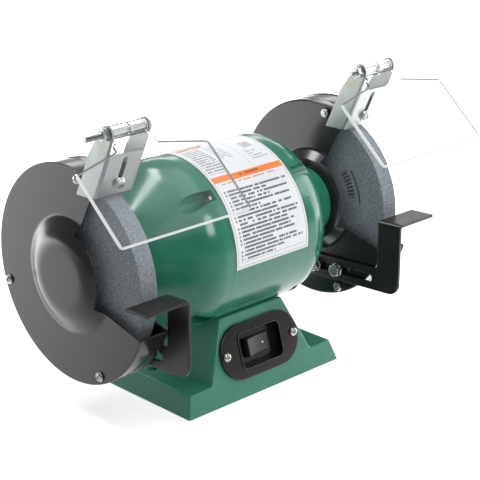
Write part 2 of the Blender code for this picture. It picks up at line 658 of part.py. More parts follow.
# ---- Wheels and clamps ----
def build_wheel():
    bore = ARBOR_RADIUS + GAP
    soft = WHEEL_CHAMFER
    rim = WHEEL_RADIUS
    outline = [(bore, WHEEL_OUTER_X), (rim - soft, WHEEL_OUTER_X), (rim, WHEEL_OUTER_X - soft)]
    outline += [(rim, WHEEL_INNER_X + soft), (rim - soft, WHEEL_INNER_X), (bore, WHEEL_INNER_X)]
    mirror_to_left(turned("right_grinding_wheel", outline, ABRASIVE, AXLE))
    face = WHEEL_INNER_X - GAP
    seat = SHOULDER_X + GAP
    outline = [(bore, face), (CLAMP_RADIUS, face), (CLAMP_RADIUS, face - INNER_CLAMP_DISC * 0.5)]
    outline += [(CLAMP_HUB_RADIUS, face - INNER_CLAMP_DISC), (CLAMP_HUB_RADIUS, seat), (bore, seat)]
    mirror_to_left(turned("right_inner_flange", outline, STEEL, AXLE, MEDIUM))
    face = WHEEL_OUTER_X + GAP
    back = face + OUTER_CLAMP_DISC
    outline = [(bore, back), (CLAMP_HUB_RADIUS * 1.4, back), (CLAMP_RADIUS, back - OUTER_CLAMP_DISC * 0.5)]
    outline += [(CLAMP_RADIUS, face), (bore, face)]
    mirror_to_left(turned("right_outer_flange", outline, STEEL, AXLE, MEDIUM))
    nut = rod("right_spindle_nut", ARBOR_NUT_FLATS / math.sqrt(3), back + GAP, back + GAP + ARBOR_NUT_HEIGHT,
              ZINC, AXLE, 6)
    combine(nut, rod("nut_bore", bore, GUARD_X, PARALLEL_REACH, None, AXLE, MEDIUM))
    mirror_to_left(nut)


# ---- Guards ----
def notch_outline(reach):
    """Side view of the opening at the front of both guard plates."""
    centre = Vector((0, SPINDLE_HEIGHT))
    corner = centre + NOTCH_CORNER
    upward = Vector((-math.sin(NOTCH_LEAN), math.cos(NOTCH_LEAN)))
    top = corner + upward * reach
    inner = arc(centre, NOTCH_RADIUS, NOTCH_START, NOTCH_END, 7)
    forward = Vector((-math.cos(NOTCH_LIP_SLOPE), -math.sin(NOTCH_LIP_SLOPE)))
    lip = Vector(inner[-1]) + forward * reach
    return [tuple(top), tuple(corner)] + inner + [tuple(lip), (lip.x, top.y)]


def bracket_frame():
    """Lower edge of the bracket's front face: X across, Y backwards, Z up it."""
    root = Vector(polar(GUARD_RADIUS, math.degrees(BAND_END)))
    upward = Vector((-math.sin(BRACKET_LEAN), math.cos(BRACKET_LEAN)))
    backward = Vector((math.cos(BRACKET_LEAN), math.sin(BRACKET_LEAN)))
    corner = root - upward * BRACKET_DROP - backward * (BRACKET_SHEET + GAP + TAB_SHEET / 2)
    place = Matrix.Translation((WHEEL_X, corner.x, corner.y))
    return place @ Matrix.Rotation(BRACKET_LEAN, 4, "X")


def build_guard():
    rim = GUARD_RADIUS
    inside = GUARD_RADIUS - GUARD_SHEET
    open_end = GUARD_COVER_X - GAP
    near = GUARD_X
    far = GUARD_X + GUARD_SHEET
    corner = 0.0015
    outline = [(inside, open_end), (rim, open_end), (rim, near + corner), (rim - corner, near)]
    outline += [(DOME_BASE, near), (DOME_TOP, near - INNER_DOME), (SPINDLE_CLEARANCE_RADIUS, near - INNER_DOME)]
    outline += [(SPINDLE_CLEARANCE_RADIUS, far - INNER_DOME), (DOME_TOP - GUARD_SHEET / 2, far - INNER_DOME)]
    outline += [(DOME_BASE - GUARD_SHEET / 2, far), (inside, far)]
    housing = turned("right_guard_housing", outline, GUARD_BLACK, AXLE)
    reach = GUARD_RADIUS * 1.3
    notch = notch_outline(reach)
    low = near - INNER_DOME * 2
    combine(housing, sheet("inner_plate_notch", [notch], low, far + GAP, None, SIDE_PLANE))
    centre = (0, SPINDLE_HEIGHT)
    mouth = arc(centre, GUARD_RADIUS * 0.8, BAND_END, BAND_START, 8)
    mouth += reversed(arc(centre, GUARD_RADIUS * 1.2, BAND_END, BAND_START, 8))
    combine(housing, sheet("band_mouth", [mouth], low, PARALLEL_REACH, None, SIDE_PLANE))
    frame = bracket_frame()
    behind = BRACKET_SHEET + GAP
    foot = BRACKET_DROP - GUARD_SHEET
    tab = block("bracket_tab", (-TAB_WIDTH / 2, behind, foot), (TAB_WIDTH / 2, behind + TAB_SHEET, TAB_TOP),
                None, frame)
    combine(housing, tab, "UNION")
    screw_place = frame @ Matrix.Translation((0, 0, BRACKET_SCREW_HEIGHT)) @ Matrix.Rotation(math.pi / 2, 4, "X")
    combine(housing, rod("tab_hole", BRACKET_SCREW_SHANK + GAP, -behind * 3, 0, None, screw_place))
    pan_screw("right_bracket_screw", BRACKET_SCREW_SHANK, 0.0042, 0.0070, screw_place, washer=0.0050)
    mirror_after = [bpy.data.objects["right_bracket_screw"]]

    face = GUARD_X + GUARD_DEPTH
    bulge = face + OUTER_DOME
    edge = GUARD_RADIUS + COVER_OVERHANG
    outline = [(0, bulge), (DOME_TOP, bulge), (DOME_BASE, face), (edge, face), (edge, GUARD_COVER_X)]
    outline += [(DOME_BASE - GUARD_SHEET / 2, GUARD_COVER_X), (DOME_TOP - GUARD_SHEET / 2, bulge - GUARD_SHEET)]
    outline += [(0, bulge - GUARD_SHEET)]
    cover = turned("right_guard_cover", outline, GUARD_BLACK, AXLE, closed=False)
    combine(cover, sheet("cover_notch", [notch], open_end, PARALLEL_REACH, None, SIDE_PLANE))

    for number, angle in enumerate(GUARD_SCREW_ANGLES, 1):
        y, z = polar(GUARD_SCREW_CIRCLE, angle)
        hole = rod(f"guard_screw_hole_{number}", GUARD_SCREW_SHANK + GAP, GUARD_X * 0.9, PARALLEL_REACH, None,
                   along_x(0, y, z))
        combine(housing, hole)
        combine(cover, hole)
        nut_face = GUARD_DEPTH + GAP
        tail = nut_face + NUT_HEIGHT
        head, nut = 0.0040, 0.0042
        profile = [(0, GAP + PAN_HEIGHT), (head * 0.8, GAP + PAN_HEIGHT * 0.7), (head, GAP)]
        profile += [(GUARD_SCREW_SHANK, GAP), (GUARD_SCREW_SHANK, -nut_face), (nut, -nut_face), (nut, -tail)]
        profile += [(GUARD_SCREW_SHANK, -tail), (0, -tail - NUT_HEIGHT / 2)]
        screw = turned(f"right_guard_screw_{number}", profile, ZINC, along_x(face, y, z), SMALL, closed=False)
        mirror_after.append(screw)
    for number, y in enumerate(REST_BOLT_Y, 1):
        hole = rod(f"rest_bolt_hole_{number}", REST_BOLT_SHANK + GAP, GUARD_X * 0.9, far + GAP, None,
                   along_x(0, y, rest_height(y)))
        combine(housing, hole)
    for piece in [housing, cover] + mirror_after:
        mirror_to_left(piece)


# ---- Tool rests ----
def rest_height(y):
    """Height of the middle of the rest's arm."""
    return REST_HEIGHT - REST_RISE * y


def build_rest():
    """A plate beside the guard whose upright turns over into the table."""
    outer = GUARD_X - GAP
    inner = outer - REST_SHEET
    half = REST_ARM_HALF
    top = REST_TABLE_HEIGHT - REST_BEND
    toe = (REST_FRONT + REST_TOE_RADIUS, REST_TOE_RADIUS - half)
    crook = (REST_BACK + REST_INNER_CORNER, half + REST_INNER_CORNER)
    outline = [(REST_FRONT, top)]
    outline += arc(toe, REST_TOE_RADIUS, math.pi, math.pi * 1.5, 5)
    outline += [(REST_ARM_END, -half), (REST_ARM_END, half)]
    outline += arc(crook, REST_INNER_CORNER, math.pi * 1.5, math.pi, 3)
    outline += [(REST_BACK, top)]
    slot = slot_outline((REST_SLOT_FRONT + REST_SLOT_HALF, 0), (REST_SLOT_BACK - REST_SLOT_HALF, 0), REST_SLOT_HALF)
    rest = sheet("right_tool_rest", [outline, slot], inner, outer, REST_BLACK, Matrix.Identity(4))
    rest.data.transform(SIDE_PLANE)
    shape = bmesh.new()
    shape.from_mesh(rest.data)
    shape.normal_update()
    bmesh.ops.dissolve_limit(shape, angle_limit=0.01, verts=shape.verts, edges=shape.edges)
    end = max(shape.faces, key=lambda face: face.normal.z * 10 + face.calc_center_median().z)
    axis = Vector((inner + REST_BEND, 0, top))
    bmesh.ops.spin(shape, geom=[end], cent=axis, axis=(0, 1, 0), angle=math.pi / 2, steps=4)
    shape.normal_update()
    tip = max(shape.faces, key=lambda face: face.normal.x * 10 + face.calc_center_median().z)
    pulled = bmesh.ops.extrude_face_region(shape, geom=[tip])
    tip_points = [item for item in pulled["geom"] if isinstance(item, bmesh.types.BMVert)]
    bmesh.ops.translate(shape, verts=tip_points, vec=(REST_TABLE_LENGTH - REST_BEND, 0, 0))
    buried = [face for face in shape.faces if all(len(edge.link_faces) > 2 for edge in face.edges)]
    bmesh.ops.delete(shape, geom=buried, context="FACES_ONLY")
    bmesh.ops.recalc_face_normals(shape, faces=shape.faces)
    for vertex in shape.verts:
        vertex.co.z -= REST_RISE * vertex.co.y
    shape.to_mesh(rest.data)
    shape.free()
    rest.location = (0, 0, REST_HEIGHT)
    mirror_to_left(rest)
    for number, y in enumerate(REST_BOLT_Y, 1):
        place = Matrix.Translation((inner, y, rest_height(y))) @ Matrix.Rotation(-math.pi / 2, 4, "Y")
        washer_top = GAP + WASHER_THICKNESS
        reach = REST_SHEET + GAP + GUARD_SHEET + REST_BOLT_REACH
        outline = [(0, washer_top * 1.5), (REST_BOLT_FLATS * 0.6, washer_top), (REST_BOLT_FLATS * 0.6, GAP)]
        outline += [(REST_BOLT_SHANK, GAP), (REST_BOLT_SHANK, -reach), (0, -reach)]
        bolt = turned(f"right_rest_bolt_{number}", outline, ZINC, place, SMALL, closed=False)
        head = rod(f"rest_bolt_head_{number}", REST_BOLT_FLATS / math.sqrt(3), washer_top * 0.5,
                   washer_top + REST_BOLT_HEAD, None, place, 6)
        combine(bolt, head, "UNION")
        mirror_to_left(bolt)


# ---- Eye shields and their brackets ----
def build_bracket():
    frame = bracket_frame()
    half = BRACKET_WIDTH / 2
    wall = BRACKET_SHEET
    bend = BRACKET_BEND
    depth = BRACKET_DEPTH
    channel = [(-half, depth)] + arc((bend - half, bend), bend, math.pi, math.pi * 1.5, 3)
    channel += arc((half - bend, bend), bend, math.pi * 1.5, math.pi * 2, 3) + [(half, depth)]
    channel += [(half - wall, depth), (half - wall, bend), (half - bend, wall)]
    channel += [(bend - half, wall), (wall - half, bend), (wall - half, depth)]
    top = HINGE_HEIGHT + EAR_RADIUS * 2
    piece = sheet("right_shield_bracket", [channel], BRACKET_BACK_LOW * 2, top, ZINC, frame)
    hinge = (HINGE_FORWARD, HINGE_HEIGHT)
    side = [(-wall, 0), (0, 0), (depth - GAP, BRACKET_BACK_LOW), (depth - GAP, BRACKET_BACK_HIGH)]
    side += arc(hinge, EAR_RADIUS, 0.0, math.pi, 8)
    side += [(GAP, HINGE_HEIGHT - EAR_RADIUS * 1.4), (-wall, HINGE_HEIGHT - EAR_RADIUS * 2)]
    trim = sheet("bracket_side_view", [side], -half * 1.5, half * 1.5, None, frame @ SIDE_PLANE)
    combine(piece, trim, "INTERSECT")
    front = frame @ Matrix.Rotation(math.pi / 2, 4, "X")
    opening = half - wall
    window = rounded_outline((-opening, BRACKET_FRONT_HEIGHT), (opening, top * 1.2), BRACKET_WINDOW_CORNER)
    combine(piece, sheet("bracket_window", [window], -bend * 1.2, wall, None, front))
    slot = slot_outline((0, BRACKET_SLOT_LOW), (0, BRACKET_SLOT_HIGH), BRACKET_SLOT_HALF)
    combine(piece, sheet("bracket_slot", [slot], -wall * 2, wall, None, front))
    pivot = frame @ Matrix.Translation((0, *hinge)) @ Matrix.Rotation(math.pi / 2, 4, "Y")
    combine(piece, rod("hinge_hole", HINGE_SHANK + GAP, -half * 2, half * 2, None, pivot))
    mirror_to_left(piece)


def build_hinge_bolts():
    """Head at the +X ear and nut at the -X ear, on both ends of the grinder."""
    half = BRACKET_WIDTH / 2
    hinge = bracket_frame() @ Matrix.Translation((0, HINGE_FORWARD, HINGE_HEIGHT))
    y, z = hinge.translation.y, hinge.translation.z
    for side, x in (("left", -WHEEL_X), ("right", WHEEL_X)):
        place = along_x(x, y, z)
        washer = half + GAP + WASHER_THICKNESS
        tail = half + GAP * 2 + WASHER_THICKNESS + HINGE_NUT_HEIGHT + HINGE_TAIL[side]
        head = 0.0044
        profile = [(0, washer + PAN_HEIGHT), (head * 0.6, washer + PAN_HEIGHT), (head, washer + PAN_HEIGHT * 0.5)]
        profile += [(head, washer), (HINGE_WASHER, washer), (HINGE_WASHER, half + GAP), (HINGE_SHANK, half + GAP)]
        profile += [(HINGE_SHANK, -tail), (0, -tail)]
        turned(f"{side}_hinge_bolt", profile, ZINC, place, SMALL, closed=False)
        face = -half - GAP
        inner = HINGE_SHANK + GAP
        ring = [(inner, face), (HINGE_WASHER, face), (HINGE_WASHER, face - WASHER_THICKNESS)]
        ring += [(inner, face - WASHER_THICKNESS)]
        nut = turned(f"{side}_hinge_nut", ring, ZINC, place, SMALL)
        low = face - WASHER_THICKNESS - HINGE_NUT_HEIGHT
        hexagon = rod(f"{side}_nut_hexagon", HINGE_NUT_FLATS / math.sqrt(3), low, face - WASHER_THICKNESS / 2,
                      None, place, 6)
        combine(hexagon, rod(f"{side}_nut_thread", inner, low * 1.2, 0, None, place))
        combine(nut, hexagon, "UNION")


def build_shield():
    """One clear moulding: a pane and two knuckles between the bracket's ears."""
    hinge = bracket_frame() @ Matrix.Translation((0, HINGE_FORWARD, HINGE_HEIGHT))
    place = Matrix.Translation(hinge.translation) @ Matrix.Rotation(SHIELD_TILT, 4, "X")
    ear_outside = BRACKET_WIDTH / 2
    ear_inside = ear_outside - BRACKET_SHEET
    barrel = ear_inside - GAP
    relief = ear_outside + EAR_CLEARANCE
    side = SHIELD_WIDTH / 2
    rise = math.tan(SHIELD_SHOULDER_SLOPE)
    corner = SHIELD_CORNER
    start = (HINGE_SHANK + KNUCKLE_RADIUS) / 2
    right = [(barrel, start), (barrel, EAR_RELIEF), (relief, EAR_RELIEF)]
    right += [(relief, SHIELD_SHOULDER - (side - relief) * rise)]
    right += arc((side - corner, SHIELD_SHOULDER + corner), corner, -math.pi / 2 + 0.2, 0, 3)
    right += arc((side - corner, SHIELD_REACH - corner), corner, 0, math.pi / 2, 3)
    outline = [(x, -t) for x, t in right] + [(-x, -t) for x, t in reversed(right)]
    thick = SHIELD_THICKNESS / 2
    pane = sheet("right_eye_shield", [outline], -thick, thick, CLEAR, place)
    about = place @ Matrix.Rotation(math.pi / 2, 4, "Y")
    for word, low, high in (("low", -barrel, -KNUCKLE_SPLIT / 2), ("high", KNUCKLE_SPLIT / 2, barrel)):
        knuckle = tube(f"knuckle_{word}", KNUCKLE_RADIUS, HINGE_SHANK + GAP, low, high, None, about, MEDIUM)
        combine(pane, knuckle, "UNION")
    mirror_to_left(pane)


build_base()
build_switch()
build_motor()
build_label()
build_wheel()
build_guard()
build_rest()
build_bracket()
build_hinge_bolts()
build_shield()
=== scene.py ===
"""Bench grinder: its visible pieces, finishes and stage, built on the packed frame.

Units are metres. X runs along the spindle, -Y is the operator's side and +Z is up.
Every finished object sits at the origin, with its place in its mesh. A piece on the
+X end is modelled once and mirrored to the -X end, apart from the shield brackets, the
hinge bolts and nuts, and the eye shields, which are shown on each end in turn.
"""
import json
import math

import bmesh
import bpy
from bpy.props import FloatProperty, FloatVectorProperty, IntProperty, PointerProperty
from mathutils import Matrix, Vector


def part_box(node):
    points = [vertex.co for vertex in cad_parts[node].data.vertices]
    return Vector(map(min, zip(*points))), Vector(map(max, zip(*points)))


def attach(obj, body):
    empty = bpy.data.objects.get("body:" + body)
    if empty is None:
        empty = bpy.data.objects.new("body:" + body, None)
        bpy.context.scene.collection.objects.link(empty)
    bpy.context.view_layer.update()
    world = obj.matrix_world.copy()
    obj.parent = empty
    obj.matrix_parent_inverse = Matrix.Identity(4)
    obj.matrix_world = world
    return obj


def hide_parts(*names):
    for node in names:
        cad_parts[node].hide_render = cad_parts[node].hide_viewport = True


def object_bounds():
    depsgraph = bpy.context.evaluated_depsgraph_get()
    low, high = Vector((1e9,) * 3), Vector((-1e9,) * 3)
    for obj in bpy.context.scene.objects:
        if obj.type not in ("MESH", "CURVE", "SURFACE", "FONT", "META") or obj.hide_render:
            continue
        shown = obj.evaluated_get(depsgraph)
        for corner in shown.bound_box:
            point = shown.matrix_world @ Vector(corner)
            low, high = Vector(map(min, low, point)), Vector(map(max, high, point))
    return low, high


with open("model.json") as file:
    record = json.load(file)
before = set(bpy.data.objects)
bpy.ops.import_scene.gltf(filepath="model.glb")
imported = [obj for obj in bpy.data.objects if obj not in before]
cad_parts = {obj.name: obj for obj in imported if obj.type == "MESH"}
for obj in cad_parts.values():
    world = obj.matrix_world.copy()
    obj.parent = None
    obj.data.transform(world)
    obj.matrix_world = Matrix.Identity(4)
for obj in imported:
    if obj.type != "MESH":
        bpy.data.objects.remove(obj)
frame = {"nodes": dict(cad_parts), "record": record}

bl_info = {
    "name": "Bench Grinder",
    "version": (1, 0, 0),
    "blender": (4, 5, 0),
    "location": "3D Viewport > Sidebar > Grinder",
    "description": "Builds the visible pieces, finishes and stage of a bench grinder",
    "category": "Add Mesh",
}

FRAME_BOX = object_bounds()
RECORD = frame["record"]
BODY_OF = {node: body for body, nodes in RECORD["behaviour"]["bodies"].items() for node in nodes}

FULL_TURN = 2 * math.pi
QUARTER = math.pi / 2
MERGE = 0.000005
FLAT = math.radians(0.8)                     # below this, two faces count as one
SHARP = math.radians(32)                     # above this, an edge is an edge
GAP = 0.0003                                 # between pieces that touch
WAYS = {"left": -1, "right": 1}              # which way along X each end lies
SIDES = tuple(WAYS)


def middle(node):
    low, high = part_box(node)
    return (low + high) / 2


# ---- Places read from the frame ----
AXLE_Z = middle("spindle").z
WHEEL_LOW, WHEEL_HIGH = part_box("right_grinding_wheel")
WHEEL_RADIUS = (WHEEL_HIGH.z - WHEEL_LOW.z) / 2
COVER_LOW, COVER_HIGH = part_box("right_guard_cover")
COVER_RADIUS = (COVER_HIGH.z - COVER_LOW.z) / 2
BARREL_LOW, BARREL_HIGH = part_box("motor_barrel")
BARREL_HALF = BARREL_HIGH.x
MOTOR_RADIUS = (BARREL_HIGH.y - BARREL_LOW.y) / 2
HUB_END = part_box("right_end_bell")[1].x
HINGE = {side: middle(f"{side}_hinge_nut") for side in SIDES}
WHEEL_X = (WHEEL_LOW.x + WHEEL_HIGH.x) / 2

# ---- Shapes that no box gives ----
GUARD_SHEET = 0.0013
GUARD_RADIUS = COVER_RADIUS - 0.0006         # the cover's rim overhangs the band
PLATE_X = 0.1197                             # motor side of the guard's inner plate
PLATE_START = 0.0505                         # radius where the flat of a plate or cover starts
BAND_END_X = 0.1466
GROOVE_X = (0.1262, 0.1270, 0.1308, 0.1316)  # the corners of the band's shallow groove
GROOVE_DEPTH = 0.0004
COVER_FACE_X = 0.1482
GUARD_CORNER, COVER_CORNER = 0.0018, 0.0009
TAB_LOW, TAB_HIGH = (-0.0110, 0.0018, 0.0057), (0.0110, 0.0033, 0.0270)
WHEEL_BORE = 0.00665
SPINDLE_OPENING = 0.0140
NOTCH_CORNER = Vector((-0.0133, 0.0371))     # Y and Z from the spindle
NOTCH_LEAN = math.radians(27.6)
NOTCH_RADIUS = 0.0380
NOTCH_END = math.radians(207.3)
NOTCH_LIP_SLOPE = math.radians(14.5)
NOTCH_SIDE = 0.03                            # the opening lies in front of this
BAND_START = GUARD_RADIUS - 0.0008           # beyond this radius a face is on the band
BAND_TOP_ANGLE = math.radians(117)
BAND_LOW_ANGLE = math.radians(200.3)
GUARD_SCREW_CIRCLE = 0.0806
GUARD_SCREW_ANGLES = (-18.0, -115.0, 100.5)

BELL_CURVE_X = 0.0480                        # where the bell's straight skirt ends
BELL_CURVE = 0.0285                          # radius of its shoulder, before the 45 degree cone
BELL_END_X = 0.0945
HUB_RADIUS = 0.0300
BELL_RIM = BARREL_HALF + 0.00005
BELL_WALL, BELL_BORE = 0.0040, 0.0100
BELL_SEAT = 0.0880                           # inner face of the bell's closed end
PAD_WALL, PAD_START, PAD_END, PAD_INSET = 0.0028, BELL_RIM + 0.0012, 0.0700, 0.0006
POCKET_RADIUS, POCKET_CIRCLE, POCKET_SEAT = 0.0070, 0.0650, 0.0440
MOUTH_START, MOUTH_END = POCKET_SEAT + 0.001, 0.0780     # each pocket's open mouth lies between these
BOLT_CIRCLE, BOLT_RADIUS = 0.0630, 0.0024
BOLT_ANGLES = (46.5, 133.5, 226.5, 313.5)

BASE_SLOPE = math.radians(16.4)
BASE_LENGTH, BASE_WIDTH = 0.1710, 0.1301
FLANGE_HEIGHT, FLANGE_INSET = 0.0177, 0.0053
PEDESTAL_FOOT, PEDESTAL_HEAD, PEDESTAL_TOP = 0.1130, 0.0700, 0.0655
PEDESTAL_FILLET = 0.0030
CUT_ABOVE, CUT_BELOW = 0.03, 0.01            # how far a cutting tool goes past the flange
MOUNT_HOLE_X, MOUNT_HOLE_RADIUS = 0.0674, 0.0045
COVER_HOLE_X, COVER_HOLE_Y, COVER_HOLE_RADIUS = 0.0680, 0.0445, 0.0012
HOLLOW_HALF_X, HOLLOW_HALF_Y, HOLLOW_TOP = 0.0790, 0.0580, 0.0140
CHAMBER_HALF, CHAMBER_LOW, CHAMBER_TOP, CHAMBER_WALL = 0.0360, 0.0010, 0.0460, 0.0040

SWITCH_HEIGHT = 0.0361
SWITCH_LENGTH, SWITCH_WIDTH, SWITCH_THICKNESS = 0.0870, 0.0457, 0.0025
SWITCH_SCREW_X = 0.0377
WELL_LENGTH, WELL_WIDTH, WELL_DEPTH, WELL_CORNER = 0.0450, 0.0290, 0.0070, 0.0050
RING_PLACE, STROKE_PLACE = (0.0060, 0.0180), (-0.0270, -0.0125)
ROCKER_LENGTH, ROCKER_WIDTH = 0.0260, 0.0152
ROCKER_TILT = math.radians(8)
PIVOT_DEPTH = 0.0048                         # below the well's floor
DOT_PLACE = (0.0062, 0.0, 0.0078)            # from the pivot

LABEL_HALF = 0.03975
LABEL_START = math.radians(-5)
LABEL_ARC = math.radians(105)

REST_HEIGHT = 0.0627
REST_RISE = math.tan(math.radians(3.4))
REST_BOLT_Y = (-0.0340, -0.0092)
REST_SHEET, REST_BEND = 0.0027, 0.0035
REST_TOP = 0.0530 - REST_BEND                # where the upright starts to bend over

BRACKET_LEAN = math.radians(24.5)
BRACKET_FOOT = Vector((WHEEL_X, -0.038643, 0.190856))
SHIELD_TILT = math.radians(41.5)
EAR_OUTSIDE = 0.0180
SHIELD_WIDTH, SHIELD_REACH = 0.1225, 0.0875
SHIELD_SHOULDER, SHOULDER_SLOPE = 0.0155, math.radians(13)
KNUCKLE_HALF = 0.0162
SHIELD_BORE = 0.0028


# ---- Settings a user would change ----
def length(name, text, default):
    return FloatProperty(name=name, description=text, default=default, min=0.0, unit="LENGTH")


def colour(name, text, default):
    return FloatVectorProperty(name=name, description=text, default=default, size=3, min=0.0, max=1.0,
                               subtype="COLOR")


def power(name, text, default):
    return FloatProperty(name=name, description=f"Power of the {text}", default=default, min=0.0)


class GrinderSizes(bpy.types.PropertyGroup):
    """Roundings and counts of the visible pieces."""
    facets: IntProperty(name="Facets", description="Facets round the largest turned pieces", default=144,
                        min=24)
    casting_edge: length("Casting edge", "Rounding of the cast base's outer edges", 0.0016)
    sheet_edge: length("Sheet edge", "Rounding of the sheet metal's cut edges", 0.0003)
    pocket_edge: length("Pocket edge", "Rounding where the bolt pockets meet the bells", 0.0010)
    shield_edge: length("Shield edge", "Rounding of the clear shields' edges", 0.0005)
    dome_height: length("Dome height", "How far each guard cover bulges", 0.0090)


class GrinderColours(bpy.types.PropertyGroup):
    """The finishes' main colours."""
    motor_green: colour("Motor green", "Glossy enamel of the motor", (0.016, 0.152, 0.092))
    base_green: colour("Base green", "Satin enamel of the base", (0.027, 0.165, 0.106))
    guard_grey: colour("Guard grey", "Enamel of the guards", (0.009, 0.0085, 0.008))
    rest_black: colour("Rest black", "Enamel of the tool rests", (0.007, 0.006, 0.005))
    switch_black: colour("Switch black", "Plastic of the switch", (0.006, 0.005, 0.004))
    zinc: colour("Zinc", "Plating on brackets and screws", (0.62, 0.64, 0.63))
    abrasive: colour("Abrasive", "Grain of the wheels", (0.165, 0.190, 0.210))
    clear: colour("Shield", "Clear plastic of the eye shields", (0.985, 0.995, 1.0))
    label_orange: colour("Label orange", "Band across the label", (0.84, 0.20, 0.035))
    floor: colour("Floor", "Studio floor", (0.93, 0.93, 0.93))


class GrinderStage(bpy.types.PropertyGroup):
    """Camera and lamps."""
    lens: FloatProperty(name="Lens", description="Camera lens in millimetres", default=114.70)
    top_power: power("Top", "large lamp above", 17.0)
    right_power: power("Right", "lamp on the right", 16.0)
    strip_power: power("Strip", "tall lamp in front", 8.5)
    back_power: power("Back", "lamp behind on the left", 9.0)
    rim_power: power("Rim", "low lamp behind on the right", 3.2)
    sky: FloatProperty(name="Sky", description="Strength of the light from all round", default=0.34)


# ---- Mesh helpers ----
def shift(x=0.0, y=0.0, z=0.0):
    return Matrix.Translation((x, y, z))


def swing(angle, axis):
    return Matrix.Rotation(angle, 4, axis)


def moved(shape, place):
    """The same shape, put in its place."""
    bmesh.ops.transform(shape, matrix=place, verts=shape.verts)
    return shape


def arc(centre, radius, start, end, steps):
    turn = (end - start) / steps
    angles = [start + turn * i for i in range(steps + 1)]
    return [(centre[0] + radius * math.cos(angle), centre[1] + radius * math.sin(angle)) for angle in angles]


def ring(centre, radius, steps=32):
    return arc(centre, radius, 0.0, FULL_TURN * (steps - 1) / steps, steps - 1)


def rounded(corners, closed=True, steps=5):
    """An outline whose corners, given as (u, v, radius), are rounded off."""
    points = []
    count = len(corners)
    for index, (u, v, radius) in enumerate(corners):
        here = Vector((u, v))
        if radius <= 0 or (not closed and index in (0, count - 1)):
            points.append((u, v))
            continue
        before = Vector(corners[index - 1][:2]) - here
        after = Vector(corners[(index + 1) % count][:2]) - here
        reach = radius / math.tan(before.angle(after) / 2)
        start = here + before.normalized() * reach
        end = here + after.normalized() * reach
        for step in range(steps + 1):
            share = step / steps
            points.append(tuple(start * (1 - share) ** 2 + here * 2 * share * (1 - share) + end * share ** 2))
    return points


def wire(shape, points, closed=True):
    """Vertices and edges along a line of points."""
    corners = [shape.verts.new(point) for point in points]
    pairs = list(zip(corners, corners[1:]))
    if closed:
        pairs.append((corners[-1], corners[0]))
    return corners, [shape.edges.new(pair) for pair in pairs]


def turned(profile, steps, closed=False, place=Matrix.Identity(4)):
    """A profile of (x, radius) points spun about the X axis of a place."""
    shape = bmesh.new()
    corners, edges = wire(shape, [(x, 0.0, radius) for x, radius in profile], closed)
    bmesh.ops.spin(shape, geom=corners + edges, cent=(0, 0, 0), axis=(1, 0, 0), angle=FULL_TURN, steps=steps,
                   use_merge=True)
    bmesh.ops.remove_doubles(shape, verts=shape.verts, dist=MERGE)
    bmesh.ops.recalc_face_normals(shape, faces=shape.faces)
    return moved(shape, place)


def filled(shape, outlines, height=0.0):
    """Flat faces inside the first outline and outside the others."""
    edges = []
    for outline in outlines:
        edges += wire(shape, [(u, v, height) for u, v in outline])[1]
    bmesh.ops.triangle_fill(shape, use_beauty=True, edges=edges)
    bmesh.ops.dissolve_limit(shape, angle_limit=FLAT, verts=shape.verts, edges=shape.edges)
    return list(shape.faces)


def plate(outlines, low, high, place=Matrix.Identity(4)):
    """A flat outline with its holes, as thick as from low to high."""
    shape = bmesh.new()
    faces = filled(shape, outlines, low)
    pulled = bmesh.ops.extrude_face_region(shape, geom=faces)
    risen = [item for item in pulled["geom"] if isinstance(item, bmesh.types.BMVert)]
    bmesh.ops.translate(shape, verts=risen, vec=(0, 0, high - low))
    bmesh.ops.recalc_face_normals(shape, faces=shape.faces)
    return moved(shape, place)


def bar(radius, low, high, place=Matrix.Identity(4), facets=32):
    """A round or hexagonal bar along the X axis of a place."""
    shape = bmesh.new()
    lie = shift((low + high) / 2) @ swing(QUARTER, "Y")
    bmesh.ops.create_cone(shape, cap_ends=True, segments=facets, radius1=radius, radius2=radius,
                          depth=high - low, matrix=place @ lie)
    return shape


def brick(low, high, place=Matrix.Identity(4)):
    shape = bmesh.new()
    low, high = Vector(low), Vector(high)
    size = Matrix.Diagonal((*(high - low), 1.0))
    bmesh.ops.create_cube(shape, size=1.0, matrix=place @ Matrix.Translation((low + high) / 2) @ size)
    return shape


def copy_of(node):
    """A CAD node's shape with its loose triangles merged into whole faces."""
    shape = bmesh.new()
    shape.from_mesh(frame["nodes"][node].data)
    bmesh.ops.remove_doubles(shape, verts=shape.verts, dist=MERGE)
    bmesh.ops.dissolve_limit(shape, angle_limit=FLAT, verts=shape.verts, edges=shape.edges)
    return shape


def soften(shape, width, segments=2, sharp=SHARP, chosen=None):
    """Rounds the sharp edges, or those of them that a test picks."""
    shape.normal_update()
    edges = [edge for edge in shape.edges if len(edge.link_faces) == 2 and edge.calc_face_angle(0) > sharp]
    if chosen:
        edges = [edge for edge in edges if chosen(edge)]
    bmesh.ops.bevel(shape, geom=edges, offset=width, offset_type="OFFSET", segments=segments, profile=0.5,
                    affect="EDGES", clamp_overlap=True, material=-1)
    return shape


def join(*shapes):
    """Several shapes as one."""
    whole = shapes[0]
    for shape in shapes[1:]:
        scratch = bpy.data.meshes.new("scratch")
        shape.to_mesh(scratch)
        shape.free()
        whole.from_mesh(scratch)
        bpy.data.meshes.remove(scratch)
    return whole


